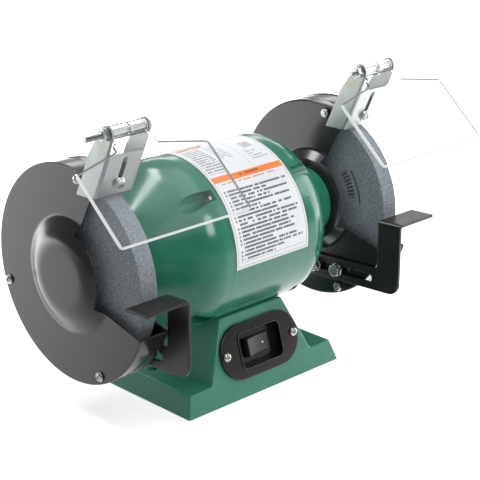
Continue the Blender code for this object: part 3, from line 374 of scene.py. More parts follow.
def combine(shape, tools, operation="DIFFERENCE"):
    """The shape cut by, or joined with, each of the tools."""
    scratch = []
    for source in [shape] + list(tools):
        mesh = bpy.data.meshes.new("scratch")
        source.to_mesh(mesh)
        source.free()
        item = bpy.data.objects.new("scratch", mesh)
        bpy.context.scene.collection.objects.link(item)
        scratch.append(item)
    for item in scratch[1:]:
        step = scratch[0].modifiers.new("combine", "BOOLEAN")
        step.operation = operation
        step.solver = "EXACT"
        step.object = item
    depsgraph = bpy.context.evaluated_depsgraph_get()
    result = bpy.data.meshes.new_from_object(scratch[0].evaluated_get(depsgraph))
    whole = bmesh.new()
    whole.from_mesh(result)
    for item in scratch:
        mesh = item.data
        bpy.data.objects.remove(item)
        bpy.data.meshes.remove(mesh)
    bpy.data.meshes.remove(result)
    bmesh.ops.remove_doubles(whole, verts=whole.verts, dist=MERGE)
    return whole


def mirrored(shape):
    """The same shape on the other end, facing outwards."""
    other = shape.copy()
    bmesh.ops.scale(other, vec=(-1, 1, 1), verts=other.verts)
    bmesh.ops.reverse_faces(other, faces=other.faces)
    return other


def show(shape, node, look, name=None, replaced=True):
    """Makes the finished piece that stands for a CAD node and rides on its body."""
    mesh = bpy.data.meshes.new(name or f"shown_{node}")
    shape.to_mesh(mesh)
    shape.free()
    mesh.shade_smooth()
    mesh.set_sharp_from_angle(angle=SHARP)
    mesh.materials.append(finish(look))
    piece = bpy.data.objects.new(mesh.name, mesh)
    bpy.context.scene.collection.objects.link(piece)
    even = piece.modifiers.new("even shading", "WEIGHTED_NORMAL")
    even.keep_sharp = True
    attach(piece, BODY_OF[node])
    if replaced:
        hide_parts(node)
    return piece


def show_both(shape, part, look, name=None, replaced=True):
    """The right-hand piece and its mirror image on the left."""
    shapes = {"left": mirrored(shape), "right": shape}
    return [show(shapes[side], f"{side}_{part}", look, name and f"{side}_{name}", replaced) for side in SIDES]


def wall(piece, thickness, edge=0.0):
    """Gives an open skin its thickness inwards, and rounds the cut edges."""
    solid = piece.modifiers.new("wall", "SOLIDIFY")
    solid.thickness = thickness
    solid.offset = -1.0
    solid.use_even_offset = True
    if edge:
        bevel = piece.modifiers.new("edge", "BEVEL")
        bevel.width = edge
        bevel.segments = 2
        bevel.limit_method = "ANGLE"
        bevel.angle_limit = math.radians(60)
        bevel.miter_outer = "MITER_ARC"
    even = piece.modifiers["even shading"]
    piece.modifiers.move(piece.modifiers.find(even.name), len(piece.modifiers) - 1)


def about_axle(radius, degrees, x=0.0):
    """A place on a circle round the spindle, its X axis along the spindle."""
    angle = math.radians(degrees)
    return shift(x, radius * math.cos(angle), AXLE_Z + radius * math.sin(angle))


AXLE = shift(z=AXLE_Z)
SIDE_PLANE = Matrix(((0, 0, 1, 0), (1, 0, 0, 0), (0, 1, 0, 0), (0, 0, 0, 1)))


def front_slope():
    """The switch's place on the base's leaning front: X across, Y up it, Z outwards."""
    y = SWITCH_HEIGHT * math.tan(BASE_SLOPE) - BASE_WIDTH / 2
    return shift(0, y, SWITCH_HEIGHT) @ swing(QUARTER - BASE_SLOPE, "X")


def bracket_place():
    """The lower edge of the right bracket's front face: X across, Y back, Z up it."""
    return Matrix.Translation(BRACKET_FOOT) @ swing(BRACKET_LEAN, "X")


# ---- Node helpers ----
class Nodes:
    """A node tree, with short ways to add and link its nodes."""
    def __init__(self, tree):
        self.tree = tree

    def fill(self, sockets, inputs):
        """Links a socket to another socket, or gives it a value."""
        for key, value in inputs.items():
            if isinstance(value, bpy.types.NodeSocket):
                self.tree.links.new(value, sockets[key])
            else:
                sockets[key].default_value = value

    def put(self, kind, inputs=None, **settings):
        """Adds a node, sets it up, and links or fills its inputs."""
        made = self.tree.nodes.new(f"ShaderNode{kind}")
        for key, value in settings.items():
            setattr(made, key, value)
        self.fill(made.inputs, inputs or {})
        return made

    def work(self, operation, first, second=0.0, third=0.0, clamp=False):
        """One step of arithmetic."""
        step = self.put("Math", {0: first, 1: second, 2: third}, operation=operation, use_clamp=clamp)
        return step.outputs[0]

    def times(self, first, second):
        return self.work("MULTIPLY", first, second)

    def scaled(self, value, share, start):
        """A value times a share, counted from a start."""
        return self.work("MULTIPLY_ADD", value, share, start)

    def between(self, value, low, high):
        """1 where a value lies between two others."""
        return self.times(self.work("GREATER_THAN", value, low), self.work("LESS_THAN", value, high))

    def vector(self, operation, first, second=(0.0, 0.0, 0.0)):
        """One step of vector arithmetic; a dot product or a length gives a number."""
        made = self.put("VectorMath", {0: first, 1: second}, operation=operation)
        return made.outputs["Value" if operation in ("DOT_PRODUCT", "LENGTH") else "Vector"]

    def parts(self, place):
        """X, Y and Z of a vector."""
        return tuple(self.put("SeparateXYZ", {0: place}).outputs)

    def mix(self, share, first, second):
        """One colour mixed into another."""
        return self.put("Mix", {0: share, 6: first, 7: second}, data_type="RGBA").outputs[2]

    def remap(self, value, low, high, to_low=0.0, to_high=1.0, smooth=False):
        """A value's range stretched onto another range."""
        spread = self.put("MapRange", {0: value, 1: low, 2: high, 3: to_low, 4: to_high},
                          interpolation_type="SMOOTHSTEP" if smooth else "LINEAR")
        return spread.outputs[0]

    def noise(self, scale, place=None, **inputs):
        return self.put("TexNoise", {"Vector": place or self.place, "Scale": scale, **inputs}).outputs[0]

    def in_view(self):
        """1 for what the camera sees directly or through clear plastic."""
        rays = self.put("LightPath").outputs
        return self.work("MAXIMUM", rays["Is Camera Ray"], rays["Is Transmission Ray"])


class Shared(Nodes):
    """A shared effect: a node group that takes a place and numbers, and gives masks and heights."""
    def __init__(self, name, outputs, **inputs):
        super().__init__(bpy.data.node_groups.new(name, "ShaderNodeTree"))
        for label, value in {"Place": (0.0, 0.0, 0.0), **inputs}.items():
            kind = "NodeSocketVector" if isinstance(value, tuple) else "NodeSocketFloat"
            socket = self.tree.interface.new_socket(label, in_out="INPUT", socket_type=kind)
            socket.default_value = value
        for label in outputs:
            self.tree.interface.new_socket(label, in_out="OUTPUT", socket_type="NodeSocketFloat")
        self.given = self.tree.nodes.new("NodeGroupInput").outputs
        self.made = self.tree.nodes.new("NodeGroupOutput").inputs
        self.place = self.given["Place"]

    def scale(self):
        """A texture's scale for the size that was asked for."""
        return self.work("DIVIDE", 1.0, self.given["Size"])

    def give(self, **outputs):
        self.fill(self.made, outputs)
        return self.tree


class Surface(Nodes):
    """A material, with its shader and the object's own coordinates."""
    def __init__(self, name):
        self.material = bpy.data.materials.new(name)
        self.material.use_nodes = True
        super().__init__(self.material.node_tree)
        self.shader = self.tree.nodes["Principled BSDF"]
        self.place = self.put("TexCoord").outputs["Object"]

    def effect(self, name, place=None, **inputs):
        """The outputs of a shared effect, laid on the object unless a place is given."""
        group = self.put("Group", {"Place": place or self.place, **inputs}, node_tree=shared_group(name))
        return group.outputs

    def smudge(self, size, high=1.0, low=0.0, place=None):
        return self.effect("smudge", place, Size=size, Low=low, High=high)["Value"]

    def edge(self, width, strength):
        return self.effect("edge", Width=width, Strength=strength)["Mask"]

    def finished(self, tone, rough, height, strength, distance, **more):
        """The material, once its shader has its colour, roughness, bumps and any other values."""
        bump = self.put("Bump", {"Height": height, "Strength": strength, "Distance": distance})
        inputs = {"Base Color": tone, "Roughness": rough, "Normal": bump.outputs[0]}
        self.fill(self.shader.inputs, inputs | {key.replace("_", " "): value for key, value in more.items()})
        return self.material


# ---- Shared effects ----
def grain_group():
    """Fine unevenness: a tone for colour and roughness, and a height."""
    group = Shared("Fine grain", ("Tone", "Height"), Size=0.001)
    noise = group.noise(group.scale(), Detail=3.0, Roughness=0.6)
    return group.give(Tone=group.remap(noise, 0.3, 0.7), Height=noise)


def smudge_group():
    """Broad, faint patches, as handling leaves on paint and metal."""
    group = Shared("Smudges", ("Value",), Size=0.03, Low=0.0, High=1.0)
    noise = group.noise(group.scale(), Detail=4.0, Roughness=0.55, Distortion=0.6)
    low, high = group.given["Low"], group.given["High"]
    return group.give(Value=group.remap(noise, 0.35, 0.65, low, high, smooth=True))


def edge_group():
    """A mask that is 1 along sharp edges, broken up by noise."""
    group = Shared("Edge wear", ("Mask",), Width=0.0008, Strength=4.0)
    soft = group.put("Bevel", {"Radius": group.given["Width"]}, samples=4).outputs[0]
    facing = group.vector("DOT_PRODUCT", soft, group.put("NewGeometry").outputs["Normal"])
    bend = group.times(group.work("SUBTRACT", 1.0, facing), group.given["Strength"])
    broken = group.remap(group.noise(900.0, Detail=3.0), 0.35, 0.60)
    return group.give(Mask=group.work("MULTIPLY", bend, broken, clamp=True))


def speckle_group():
    """Crystals of an abrasive: pale and dark grains, and their height."""
    group = Shared("Grains", ("Pale", "Dark", "Height"), Size=0.0006)
    cells = group.put("TexVoronoi", {"Vector": group.place, "Scale": group.scale()}).outputs
    chance = group.put("SeparateColor", {0: cells["Color"]}).outputs[0]
    clumps = group.noise(group.times(group.scale(), 0.3), Detail=3.0)
    lean = group.scaled(clumps, 0.5, group.times(chance, 0.75))
    return group.give(Pale=group.remap(lean, 0.66, 0.98), Dark=group.remap(lean, 0.52, 0.26),
                      Height=group.work("SUBTRACT", lean, cells["Distance"]))


def streak_group():
    """Long faint lines along X, as rolling or turning leaves."""
    group = Shared("Streaks", ("Tone",), Size=0.0004, Stretch=(0.05, 1.0, 1.0))
    pulled = group.vector("MULTIPLY", group.place, group.given["Stretch"])
    return group.give(Tone=group.remap(group.noise(group.scale(), pulled, Detail=4.0), 0.3, 0.7))


def bar_group():
    """A mask of one upright rectangle on a flat pattern in metres."""
    group = Shared("Printed bar", ("Mask",), Left=0.0, Right=0.01, Low=0.0, High=0.01)
    x, y, _ = group.parts(group.place)
    across = group.between(x, group.given["Left"], group.given["Right"])
    return group.give(Mask=group.times(across, group.between(y, group.given["Low"], group.given["High"])))


def lines_group():
    """Rows of broken dashes that stand for small print, without any lettering."""
    group = Shared("Print lines", ("Mask",), Pitch=0.0029, Word=0.0026, Fill=0.5)
    x, y, _ = group.parts(group.place)
    row = group.work("DIVIDE", y, group.given["Pitch"])
    number = group.work("FLOOR", row)
    from_middle = group.work("ABSOLUTE", group.work("SUBTRACT", group.work("FRACT", row), 0.5))
    tall = group.work("LESS_THAN", group.times(from_middle, 2.0), group.given["Fill"])
    along = group.work("DIVIDE", x, group.given["Word"])
    words = group.put("CombineXYZ", {0: along, 1: group.times(number, 7.31)}).outputs[0]
    gaps = group.work("GREATER_THAN", group.noise(1.0, words, Detail=0.0), 0.36)
    strokes = group.put("CombineXYZ", {0: group.times(along, 7.0), 1: group.times(row, 3.0)}).outputs[0]
    strength = group.remap(group.noise(1.0, strokes, Detail=1.0), 0.33, 0.48, 0.35, 1.0)
    chance = group.put("TexWhiteNoise", {1: number}, noise_dimensions="1D").outputs[0]
    end = group.scaled(group.work("POWER", chance, 3.0), -0.042, 0.0735)
    written = group.times(group.times(tall, gaps), group.work("LESS_THAN", x, end))
    return group.give(Mask=group.times(written, strength))


def arc_group():
    """A mask of a band between two radii and two angles, in the YZ plane, broken into bars."""
    group = Shared("Printed arc", ("Mask",), Inner=0.04, Outer=0.05, Start=0.0, End=1.0, Pitch=1.0, Fill=1.0)
    given = group.given
    _, y, z = group.parts(group.place)
    reach = group.vector("LENGTH", group.put("CombineXYZ", {1: y, 2: z}).outputs[0])
    angle = group.work("ARCTAN2", z, y)
    share = group.work("FRACT", group.work("DIVIDE", angle, given["Pitch"]))
    band = group.times(group.between(reach, given["Inner"], given["Outer"]),
                       group.between(angle, given["Start"], given["End"]))
    return group.give(Mask=group.times(band, group.work("LESS_THAN", share, given["Fill"])))


GROUP_MAKERS = {"grain": grain_group, "smudge": smudge_group, "edge": edge_group, "speckle": speckle_group,
                "streak": streak_group, "bar": bar_group, "lines": lines_group, "arc": arc_group}
GROUPS = {}


def shared_group(name):
    """Each shared effect is built the first time that it is asked for."""
    if name not in GROUPS:
        GROUPS[name] = GROUP_MAKERS[name]()
    return GROUPS[name]


# ---- Finishes ----
def shade(tint, share=1.0):
    """A colour made darker or lighter, as four numbers."""
    return (*(part * share for part in tint), 1.0)


def enamel(name, tint, rough, texture, bump, coat, wear_and_sheen_tint=None, wear_and_sheen_strength=0.0, mottle=0.18):
    """Paint on metal: orange-peel bumps, faint patches and any paler edges, partly wear and partly a painted
    highlight.
    """
    made = Surface(name)
    grain = made.effect("grain", Size=texture)
    patch = made.smudge(0.035)
    tone = made.mix(patch, shade(tint, 0.92), shade(tint, 1.06))
    tone = made.mix(made.times(grain["Tone"], mottle), tone, shade(tint, 1.35))
    # Paler edges: partly wear, partly a painted highlight along the edges.
    if wear_and_sheen_tint:
        tone = made.mix(made.edge(0.0009, wear_and_sheen_strength), tone, shade(wear_and_sheen_tint))
    gloss = made.scaled(patch, 0.05, made.scaled(grain["Tone"], 0.06, rough - 0.03))
    return made.finished(tone, gloss, grain["Height"], bump, 0.0002, Coat_Weight=coat,
                         Coat_Roughness=rough / 2)


def metal(name, tint, rough, streak=0.0004, stretch=(0.06, 1.0, 1.0), tarnish=(1.0, 0.93, 0.72), share=0.35):
    """Bright metal: drawn streaks, and patches of a warmer or cooler cast."""
    made = Surface(name)
    lines = made.effect("streak", Size=streak, Stretch=stretch)["Tone"]
    warm = made.smudge(0.016, share)
    elsewhere = made.put("Mapping", {"Vector": made.place, "Location": (0.31, 0.17, 0.05)}).outputs[0]
    cool = made.smudge(0.012, share, place=elsewhere)
    tone = made.mix(lines, shade(tint, 0.88), shade(tint, 1.05))
    tone = made.mix(warm, tone, shade([a * b for a, b in zip(tint, tarnish)]))
    tone = made.mix(cool, tone, shade([tint[0] * 0.82, tint[1] * 0.93, tint[2]]))
    tone = made.mix(made.edge(0.0005, 2.0), tone, shade(tint, 1.35))
    gloss = made.scaled(warm, 0.12, made.scaled(lines, 0.10, rough))
    return made.finished(tone, gloss, lines, 0.12, 0.00005, Metallic=1.0)


def abrasive_finish(tint):
    """Bonded grit: pale and dark crystals, a rough broken surface and a generic printed mark."""
    made = Surface("bonded_grit")
    fine = made.effect("speckle", Size=0.00055)
    coarse = made.effect("speckle", Size=0.0013)
    tone = made.mix(made.smudge(0.02, 0.35), shade(tint), shade(tint, 0.82))
    tone = made.mix(made.times(fine["Dark"], 0.55), tone, shade(tint, 0.30))
    tone = made.mix(made.times(fine["Pale"], 0.40), tone, (0.34, 0.38, 0.43, 1.0))
    tone = made.mix(made.times(coarse["Dark"], 0.30), tone, shade(tint, 0.30))
    centred = made.vector("SUBTRACT", made.place, (0.0, 0.0, AXLE_Z))
    outwards = made.work("ABSOLUTE", made.parts(made.place)[0])
    motor_side = made.work("LESS_THAN", outwards, WHEEL_LOW.x + 0.0001)
    sweep = {"Inner": 0.0488, "Outer": 0.0506, "Start": 2.45, "End": 3.05}
    bars = {"Inner": 0.0375, "Outer": 0.0450, "Start": 2.36, "End": 2.95, "Pitch": 0.075, "Fill": 0.62}
    for mark in (sweep, bars):
        ink = made.times(made.effect("arc", centred, **mark)["Mask"], motor_side)
        tone = made.mix(made.times(ink, 0.85), tone, (0.012, 0.012, 0.014, 1.0))
    height = made.scaled(coarse["Height"], 0.6, fine["Height"])
    return made.finished(tone, made.remap(fine["Pale"], 0.0, 1.0, 0.92, 0.45), height, 0.55, 0.0003)


def plastic(name, tint, rough, texture=0.0006, bump=0.04):
    """Moulded plastic: a faint texture, flow patches and slightly paler edges."""
    made = Surface(name)
    grain = made.effect("grain", Size=texture)
    tone = made.mix(made.smudge(0.015), shade(tint, 0.85), shade(tint, 1.2))
    tone = made.mix(made.edge(0.0006, 1.2), tone, shade([part + 0.05 for part in tint]))
    return made.finished(tone, made.scaled(grain["Tone"], 0.10, rough), grain["Height"], bump, 0.0001)


def shield_edges(made):
    """Masks of the pane's cut edges, and of those given a brighter painted highlight."""
    half, line, fade = SHIELD_WIDTH / 2, 0.0008, 0.0003
    x = made.parts(made.place)[0]
    across = made.work("SUBTRACT", x, made.times(made.work("SIGN", x), WHEEL_X))
    out = made.work("ABSOLUTE", across)
    downhill = Vector((0, -math.cos(SHIELD_TILT), -math.sin(SHIELD_TILT)))
    from_origin = made.vector("DOT_PRODUCT", made.place, downhill)
    along = made.work("SUBTRACT", from_origin, downhill.dot(HINGE["left"]))
    side = made.remap(out, half - line - fade, half - line)
    front = made.remap(along, SHIELD_REACH - line - fade, SHIELD_REACH - line)
    rise = made.times(made.work("SUBTRACT", out, EAR_OUTSIDE), math.tan(SHOULDER_SLOPE))
    past_shoulder = made.work("SUBTRACT", along, rise)
    rear = made.remap(past_shoulder, SHIELD_SHOULDER + line + fade, SHIELD_SHOULDER + line)
    rear = made.times(rear, made.remap(out, EAR_OUTSIDE + 0.0005, EAR_OUTSIDE + 0.0010))
    left = made.remap(across, line + fade - half, line - half)
    cut = made.work("MAXIMUM", made.work("MAXIMUM", side, front), rear)
    # The front and left edges get the brighter painted highlight.
    return cut, made.work("MAXIMUM", front, left)


def clear_plastic(tint):
    """Clear sheet with faint polishing marks, cut edges painted as glowing highlights over dark painted shade
    lines, and a light shadow.
    """
    made = Surface("clear_sheet")
    cut, lit = shield_edges(made)
    # Painted light: every cut edge glows faintly and the front and left edges glow brightly as a painted
    # highlight, while the edge's base colour is painted dark as a painted shade line; the rougher edge is
    # real.
    glow = made.mix(lit, (0.10, 0.11, 0.12, 1.0), (0.62, 0.63, 0.65, 1.0))
    made.fill(made.shader.inputs, {
        "Base Color": made.mix(cut, shade(tint), (0.02, 0.02, 0.02, 1.0)),
        "Roughness": made.scaled(cut, 0.55, made.smudge(0.01, 0.02)),
        "Emission Color": made.mix(cut, (0.0, 0.0, 0.0, 1.0), glow),
        "Emission Strength": 1.0,
        "IOR": 1.45,
        "Transmission Weight": 1.0,
    })
    clear = made.put("BsdfTransparent", {0: (0.93, 0.95, 0.96, 1.0)}).outputs[0]
    shadow = made.put("LightPath").outputs["Is Shadow Ray"]
    mixed = made.put("MixShader", {0: shadow, 1: made.shader.outputs[0], 2: clear})
    made.tree.links.new(mixed.outputs[0], made.tree.nodes["Material Output"].inputs[0])
    return made.material


def label_finish(orange):
    """White foil with a ruled border, an orange band and rows of generic marks."""
    made = Surface("printed_foil")
    print_place = made.put("UVMap", uv_map="print").outputs[0]
    ink, red = (0.035, 0.035, 0.040, 1.0), (0.60, 0.10, 0.09, 1.0)
    wide, tall = LABEL_HALF * 2, MOTOR_RADIUS * LABEL_ARC
    band = tall * 0.572
    upper, top = band + 0.0060, tall - 0.0125
    border, rule = 0.0016, 0.0004

    def rectangle(left, right, low, high):
        return made.effect("bar", print_place, Left=left, Right=right, Low=low, High=high)["Mask"]

    def frame_of(inset):
        return rectangle(inset, wide - inset, inset, tall - inset)

    ruled = made.work("SUBTRACT", frame_of(border), frame_of(border + rule))
    tone = made.mix(made.times(ruled, 0.8), (0.68, 0.70, 0.72, 1.0), ink)
    tone = made.mix(rectangle(0.0020, wide - 0.0020, band - 0.0028, band + 0.0030), tone, shade(orange))
    rows = (  # left, right, low, high, pitch, word, fill, colour, share
        (0.0085, wide - 0.004, 0.0050, band - 0.0100, 0.0030, 0.0030, 0.56, ink, 0.97),
        (0.0050, 0.0068, 0.0050, band - 0.0100, 0.0030, 0.0100, 0.56, ink, 0.9),
        (0.0040, wide - 0.004, band - 0.0068, band - 0.0040, 0.0028, 0.0040, 0.42, red, 0.85),
        (0.0300, 0.0520, band - 0.0012, band + 0.0014, 0.0027, 0.0032, 0.75, ink, 0.8),
        (0.0040, 0.0230, upper, top, 0.0030, 0.0024, 0.5, ink, 0.75),
        (0.0270, 0.0420, upper + 0.013, top, 0.0030, 0.0024, 0.42, ink, 0.55),
        (0.0560, 0.0740, upper + 0.004, upper + 0.018, 0.0030, 0.0026, 0.42, ink, 0.55),
        (0.0040, 0.0330, tall - 0.0100, tall - 0.0035, 0.0064, 0.0036, 1.0, red, 0.85),
    )
    for left, right, low, high, pitch, word, fill, colour_of_row, share in rows:
        marks = made.effect("lines", print_place, Pitch=pitch, Word=word, Fill=fill)["Mask"]
        mask = made.times(marks, rectangle(left, right, low, high))
        tone = made.mix(made.times(mask, share), tone, colour_of_row)
    squares = made.put("TexChecker", {"Vector": print_place, "Scale": 900.0}).outputs[1]
    grid = made.times(squares, rectangle(0.0600, 0.0700, upper + 0.0210, upper + 0.0300))
    tone = made.mix(made.times(grid, 0.8), tone, ink)
    tone = made.mix(made.times(rectangle(0.0500, 0.0503, upper, tall - 0.006), 0.6), tone, ink)
    height = made.effect("grain", Size=0.004)["Height"]
    return made.finished(tone, made.smudge(0.02, 0.46, 0.34), height, 0.10, 0.0004)


def banded(name, bands, dark, pale, patina, gloss, bump, depth, metallic):
    """Close bands across X: wound wire, or sheets in a stack, with any rust."""
    made = Surface(name)
    tone_of_band = made.put("TexWave", {"Vector": made.place, **bands}, bands_direction="X").outputs[1]
    tone = made.mix(tone_of_band, shade(dark), shade(pale))
    if patina:
        tone = made.mix(made.smudge(0.01, 0.4), tone, shade(patina))
    return made.finished(tone, made.remap(tone_of_band, 0.0, 1.0, *gloss), tone_of_band, bump, depth,
                         Metallic=metallic)


FINISHES = {}


def finish(name):
    """Each finish is built the first time that it is asked for."""
    if name not in FINISHES:
        tints = bpy.context.scene.grinder_colours
        makers = {
            "motor": lambda: enamel("motor_enamel", tints.motor_green, 0.19, 0.0030, 0.020, 0.20),
            # The base, guard and rest enamels get paler edges, partly wear and partly a painted highlight.
            "base": lambda: enamel("base_enamel", tints.base_green, 0.40, 0.0015, 0.55, 0.10,
                                   (0.28, 0.52, 0.43), 3.0, mottle=0.9),
            "guard": lambda: enamel("guard_enamel", tints.guard_grey, 0.20, 0.0012, 0.015, 0.20,
                                    (0.12, 0.12, 0.11), 0.5),
            "rest": lambda: enamel("rest_enamel", tints.rest_black, 0.30, 0.0010, 0.03, 0.0,
                                   (0.10, 0.10, 0.09), 1.0),
            "switch": lambda: plastic("switch_plastic", tints.switch_black, 0.15),
            "rocker": lambda: plastic("rocker_plastic", [part * 2.4 for part in tints.switch_black], 0.38,
                                      0.0004, 0.10),
            "dark": lambda: plastic("dark_plastic", (0.035, 0.035, 0.036), 0.45),
            "rubber": lambda: plastic("gland_rubber", (0.016, 0.016, 0.016), 0.68, 0.0005, 0.3),
            "dot": lambda: plastic("white_dot", (0.82, 0.82, 0.80), 0.4),
            "zinc": lambda: metal("bright_zinc", [part * 0.85 for part in tints.zinc], 0.17),
            "bracket": lambda: metal("passivated_zinc", [part * 0.66 for part in tints.zinc], 0.33,
                                     0.0006, (1.0, 0.12, 0.12), (1.0, 0.95, 0.74), 0.55),
            "steel": lambda: metal("machined_steel", (0.46, 0.46, 0.47), 0.26, 0.0003, (6.0, 1.0, 1.0)),
            "wheel": lambda: abrasive_finish(tints.abrasive),
            "clear": lambda: clear_plastic(tints.clear),
            "label": lambda: label_finish(tints.label_orange),
            "winding": lambda: banded("enamelled_wire", {"Scale": 260.0, "Distortion": 1.5, "Detail": 2.0},
                                      (0.20, 0.055, 0.015), (0.62, 0.25, 0.09), None, (0.5, 0.28), 0.6,
                                      0.0003, 0.85),
            "lamination": lambda: banded("stacked_sheets", {"Scale": 300.0, "Distortion": 0.2},
                                         (0.11, 0.11, 0.12), (0.34, 0.34, 0.35), (0.17, 0.10, 0.06),
                                         (0.6, 0.4), 0.4, 0.0002, 0.9),
        }
        FINISHES[name] = makers[name]()
    return FINISHES[name]


def refinish(finish_name, *nodes):
    """Gives CAD nodes that stay as they are their finish."""
    for node in nodes:
        materials = frame["nodes"][node].data.materials
        materials.clear()
        materials.append(finish(finish_name))


# ---- Base ----
def base_outline():
    """The front view of the base."""
    end = BASE_LENGTH / 2
    right = [(end, 0.0, 0.0), (end - FLANGE_INSET, FLANGE_HEIGHT, 0.0),
             (PEDESTAL_FOOT / 2, FLANGE_HEIGHT, PEDESTAL_FILLET), (PEDESTAL_HEAD / 2, PEDESTAL_TOP, 0.0)]
    return rounded(right + [(-x, z, radius) for x, z, radius in reversed(right)])


def lean_in(shape, inset=0.0):
    """Draws the front and back in towards the top."""
    half = BASE_WIDTH / 2 - inset
    for vertex in shape.verts:
        reach = half - vertex.co.z * math.tan(BASE_SLOPE)
        vertex.co.y = math.copysign(reach, vertex.co.y)


def highest(edge):
    return max(vertex.co.z for vertex in edge.verts)


def foot_hole(radius, x, y=0.0, facets=32):
    """A tool that cuts a round hole up through the flange."""
    return bar(radius, -CUT_ABOVE, CUT_BELOW, shift(x, y) @ swing(QUARTER, "Y"), facets)


def build_base():
    sizes = bpy.context.scene.grinder_sizes
    half, foot_edge = BASE_WIDTH / 2, 0.001
    body = plate([base_outline()], -half, half, swing(QUARTER, "X"))
    lean_in(body)
    soften(body, sizes.casting_edge, 3, math.radians(20), lambda edge: highest(edge) > foot_edge)
    chamber = brick((-CHAMBER_HALF, -half, CHAMBER_LOW), (CHAMBER_HALF, half, CHAMBER_TOP))
    lean_in(chamber, CHAMBER_WALL)
    hollow = brick((-HOLLOW_HALF_X, -HOLLOW_HALF_Y, -CUT_BELOW), (HOLLOW_HALF_X, HOLLOW_HALF_Y, HOLLOW_TOP))
    tools = [bar(MOTOR_RADIUS + GAP, -0.1, 0.1, AXLE, sizes.facets), hollow, chamber]
    tools += [foot_hole(MOUNT_HOLE_RADIUS, x) for x in (-MOUNT_HOLE_X, MOUNT_HOLE_X)]
    tools += [foot_hole(COVER_HOLE_RADIUS, x, y, 16) for x in (-COVER_HOLE_X, COVER_HOLE_X)
              for y in (-COVER_HOLE_Y, COVER_HOLE_Y)]
    room, depth = 0.0018, 0.008
    well = Vector((WELL_LENGTH / 2 + room, WELL_WIDTH / 2 + room, depth))
    tools.append(brick(-well, well, front_slope()))
    show(combine(body, tools), "base_casting", "base")
    refinish("dark", "base_bottom_cover", "run_capacitor")
    refinish("rubber", "cord_gland")


# ---- Switch ----
def stadium(half_length, half_width, steps=24):
    centre = half_length - half_width
    return (arc((centre, 0), half_width, -QUARTER, QUARTER, steps)
            + arc((-centre, 0), half_width, QUARTER, QUARTER * 3, steps))


def oblong(x, y):
    """The corners of a rectangle with these half sizes."""
    return [(x, -y), (x, y), (-x, y), (-x, -y)]


def well_outline(grow=0.0, corner=WELL_CORNER):
    corners = oblong(WELL_LENGTH / 2 + grow, WELL_WIDTH / 2 + grow)
    return rounded([(*spot, corner) for spot in corners], steps=8)


def switch_front(face):
    """The stadium plate with the raised rim of its well."""
    edge_round, rim_width, rim_height, rim_round = 0.0008, 0.0012, 0.0009, 0.0005
    front = plate([stadium(SWITCH_LENGTH / 2, SWITCH_WIDTH / 2), well_outline()], GAP, face)
    soften(front, edge_round, 3, SHARP, lambda edge: min(v.co.z for v in edge.verts) > face - GAP)
    around = well_outline(rim_width, WELL_CORNER + rim_width)
    rim = plate([around, well_outline()], face - edge_round, face + rim_height)
    soften(rim, rim_round, 3, SHARP, lambda edge: min(v.co.z for v in edge.verts) > face)
    return front, rim


def switch_well(face):
    """The well's sleeve, and its floor with the rocker's slot."""
    floor_z, floor_thick, wall_thick, below_face = face - WELL_DEPTH, 0.0012, 0.0013, 0.0004
    end_room, side_room, overlap = 0.0012, 0.0005, 0.0002
    around = well_outline(wall_thick, WELL_CORNER + wall_thick)
    sleeve = plate([around, well_outline()], floor_z - wall_thick, face - below_face)
    slot = oblong(ROCKER_LENGTH / 2 + end_room, ROCKER_WIDTH / 2 + side_room)
    return sleeve, plate([well_outline(overlap), slot], floor_z - floor_thick, floor_z)


def switch_marks(face):
    """A small ring and a stroke, moulded on the plate."""
    outside, inside, stroke, height = 0.0017, 0.0012, 0.0003, 0.0002
    rings = [ring((0, 0), radius, 24) for radius in (outside, inside)]
    return (plate(rings, face, face + height, shift(*RING_PLACE)),
            plate([oblong(stroke, outside)], face, face + height, shift(*STROKE_PLACE)))


def rocker_dot():
    """The white dot on the rocker, facing outwards."""
    radius, thick = 0.0009, 0.0006
    dot = turned([(0.0, 0.0), (0.0, radius - 0.0001), (-0.0002, radius), (-thick, radius), (-thick, 0.0)], 24)
    pivot = shift(z=GAP + SWITCH_THICKNESS - WELL_DEPTH - PIVOT_DEPTH)
    tilted = front_slope() @ pivot @ swing(ROCKER_TILT, "Y")
    return moved(dot, tilted @ shift(*DOT_PLACE) @ swing(-QUARTER, "Y"))


def build_switch():
    face = GAP + SWITCH_THICKNESS
    whole = join(*switch_front(face), *switch_well(face), *switch_marks(face))
    show(moved(whole, front_slope()), "switch_plate", "switch")
    refinish("dark", "switch_body")
    show(soften(copy_of("switch_rocker"), 0.0004, 2, math.radians(20)), "switch_rocker", "rocker")
    show(rocker_dot(), "switch_rocker", "dot", "rocker_dot", replaced=False)
    for side, way in WAYS.items():
        spot = front_slope() @ shift(way * SWITCH_SCREW_X, 0, face) @ swing(-QUARTER, "Y")
        screw = cross_screw(spot, 35.0 * way, head=0.0037, height=0.0024, shank=0.0020, reach=0.0110)
        show(screw, f"switch_screw_{side}", "zinc")


# ---- Fasteners ----
def cross_screw(place, turn, head, height, shank, reach, washer=0.0, washer_height=0.0):
    """A pan head with a cross recess along +X of its place, over an optional washer."""
    seat = GAP + washer_height
    crown = [(seat, shank), (seat, head), (seat + height * 0.35, head), (seat + height * 0.8, head * 0.72),
             (seat + height, head * 0.35), (seat + height, 0.0)]
    profile = rounded([(x, r, 0.0004 if 1 <= i <= 3 else 0.0) for i, (x, r) in enumerate(crown)], False, 4)
    shape = turned([(-reach, 0.0), (-reach, shank)] + profile, 32)
    slot_low, slot_high = seat + height * 0.35, seat + height * 2
    slot_half, slot_width = head * 0.62, head * 0.13
    shape = combine(shape, [brick((slot_low, -slot_half, -slot_width), (slot_high, slot_half, slot_width),
                                  swing(math.radians(angle), "X")) for angle in (turn, turn + 90)])
    if washer:
        inside = shank * 1.05
        section = [(GAP, inside), (GAP, washer), (GAP + washer_height * 0.8, washer), (seat, washer * 0.96),
                   (seat, inside)]
        shape = join(shape, turned(section, 40, closed=True))
    return moved(shape, place)


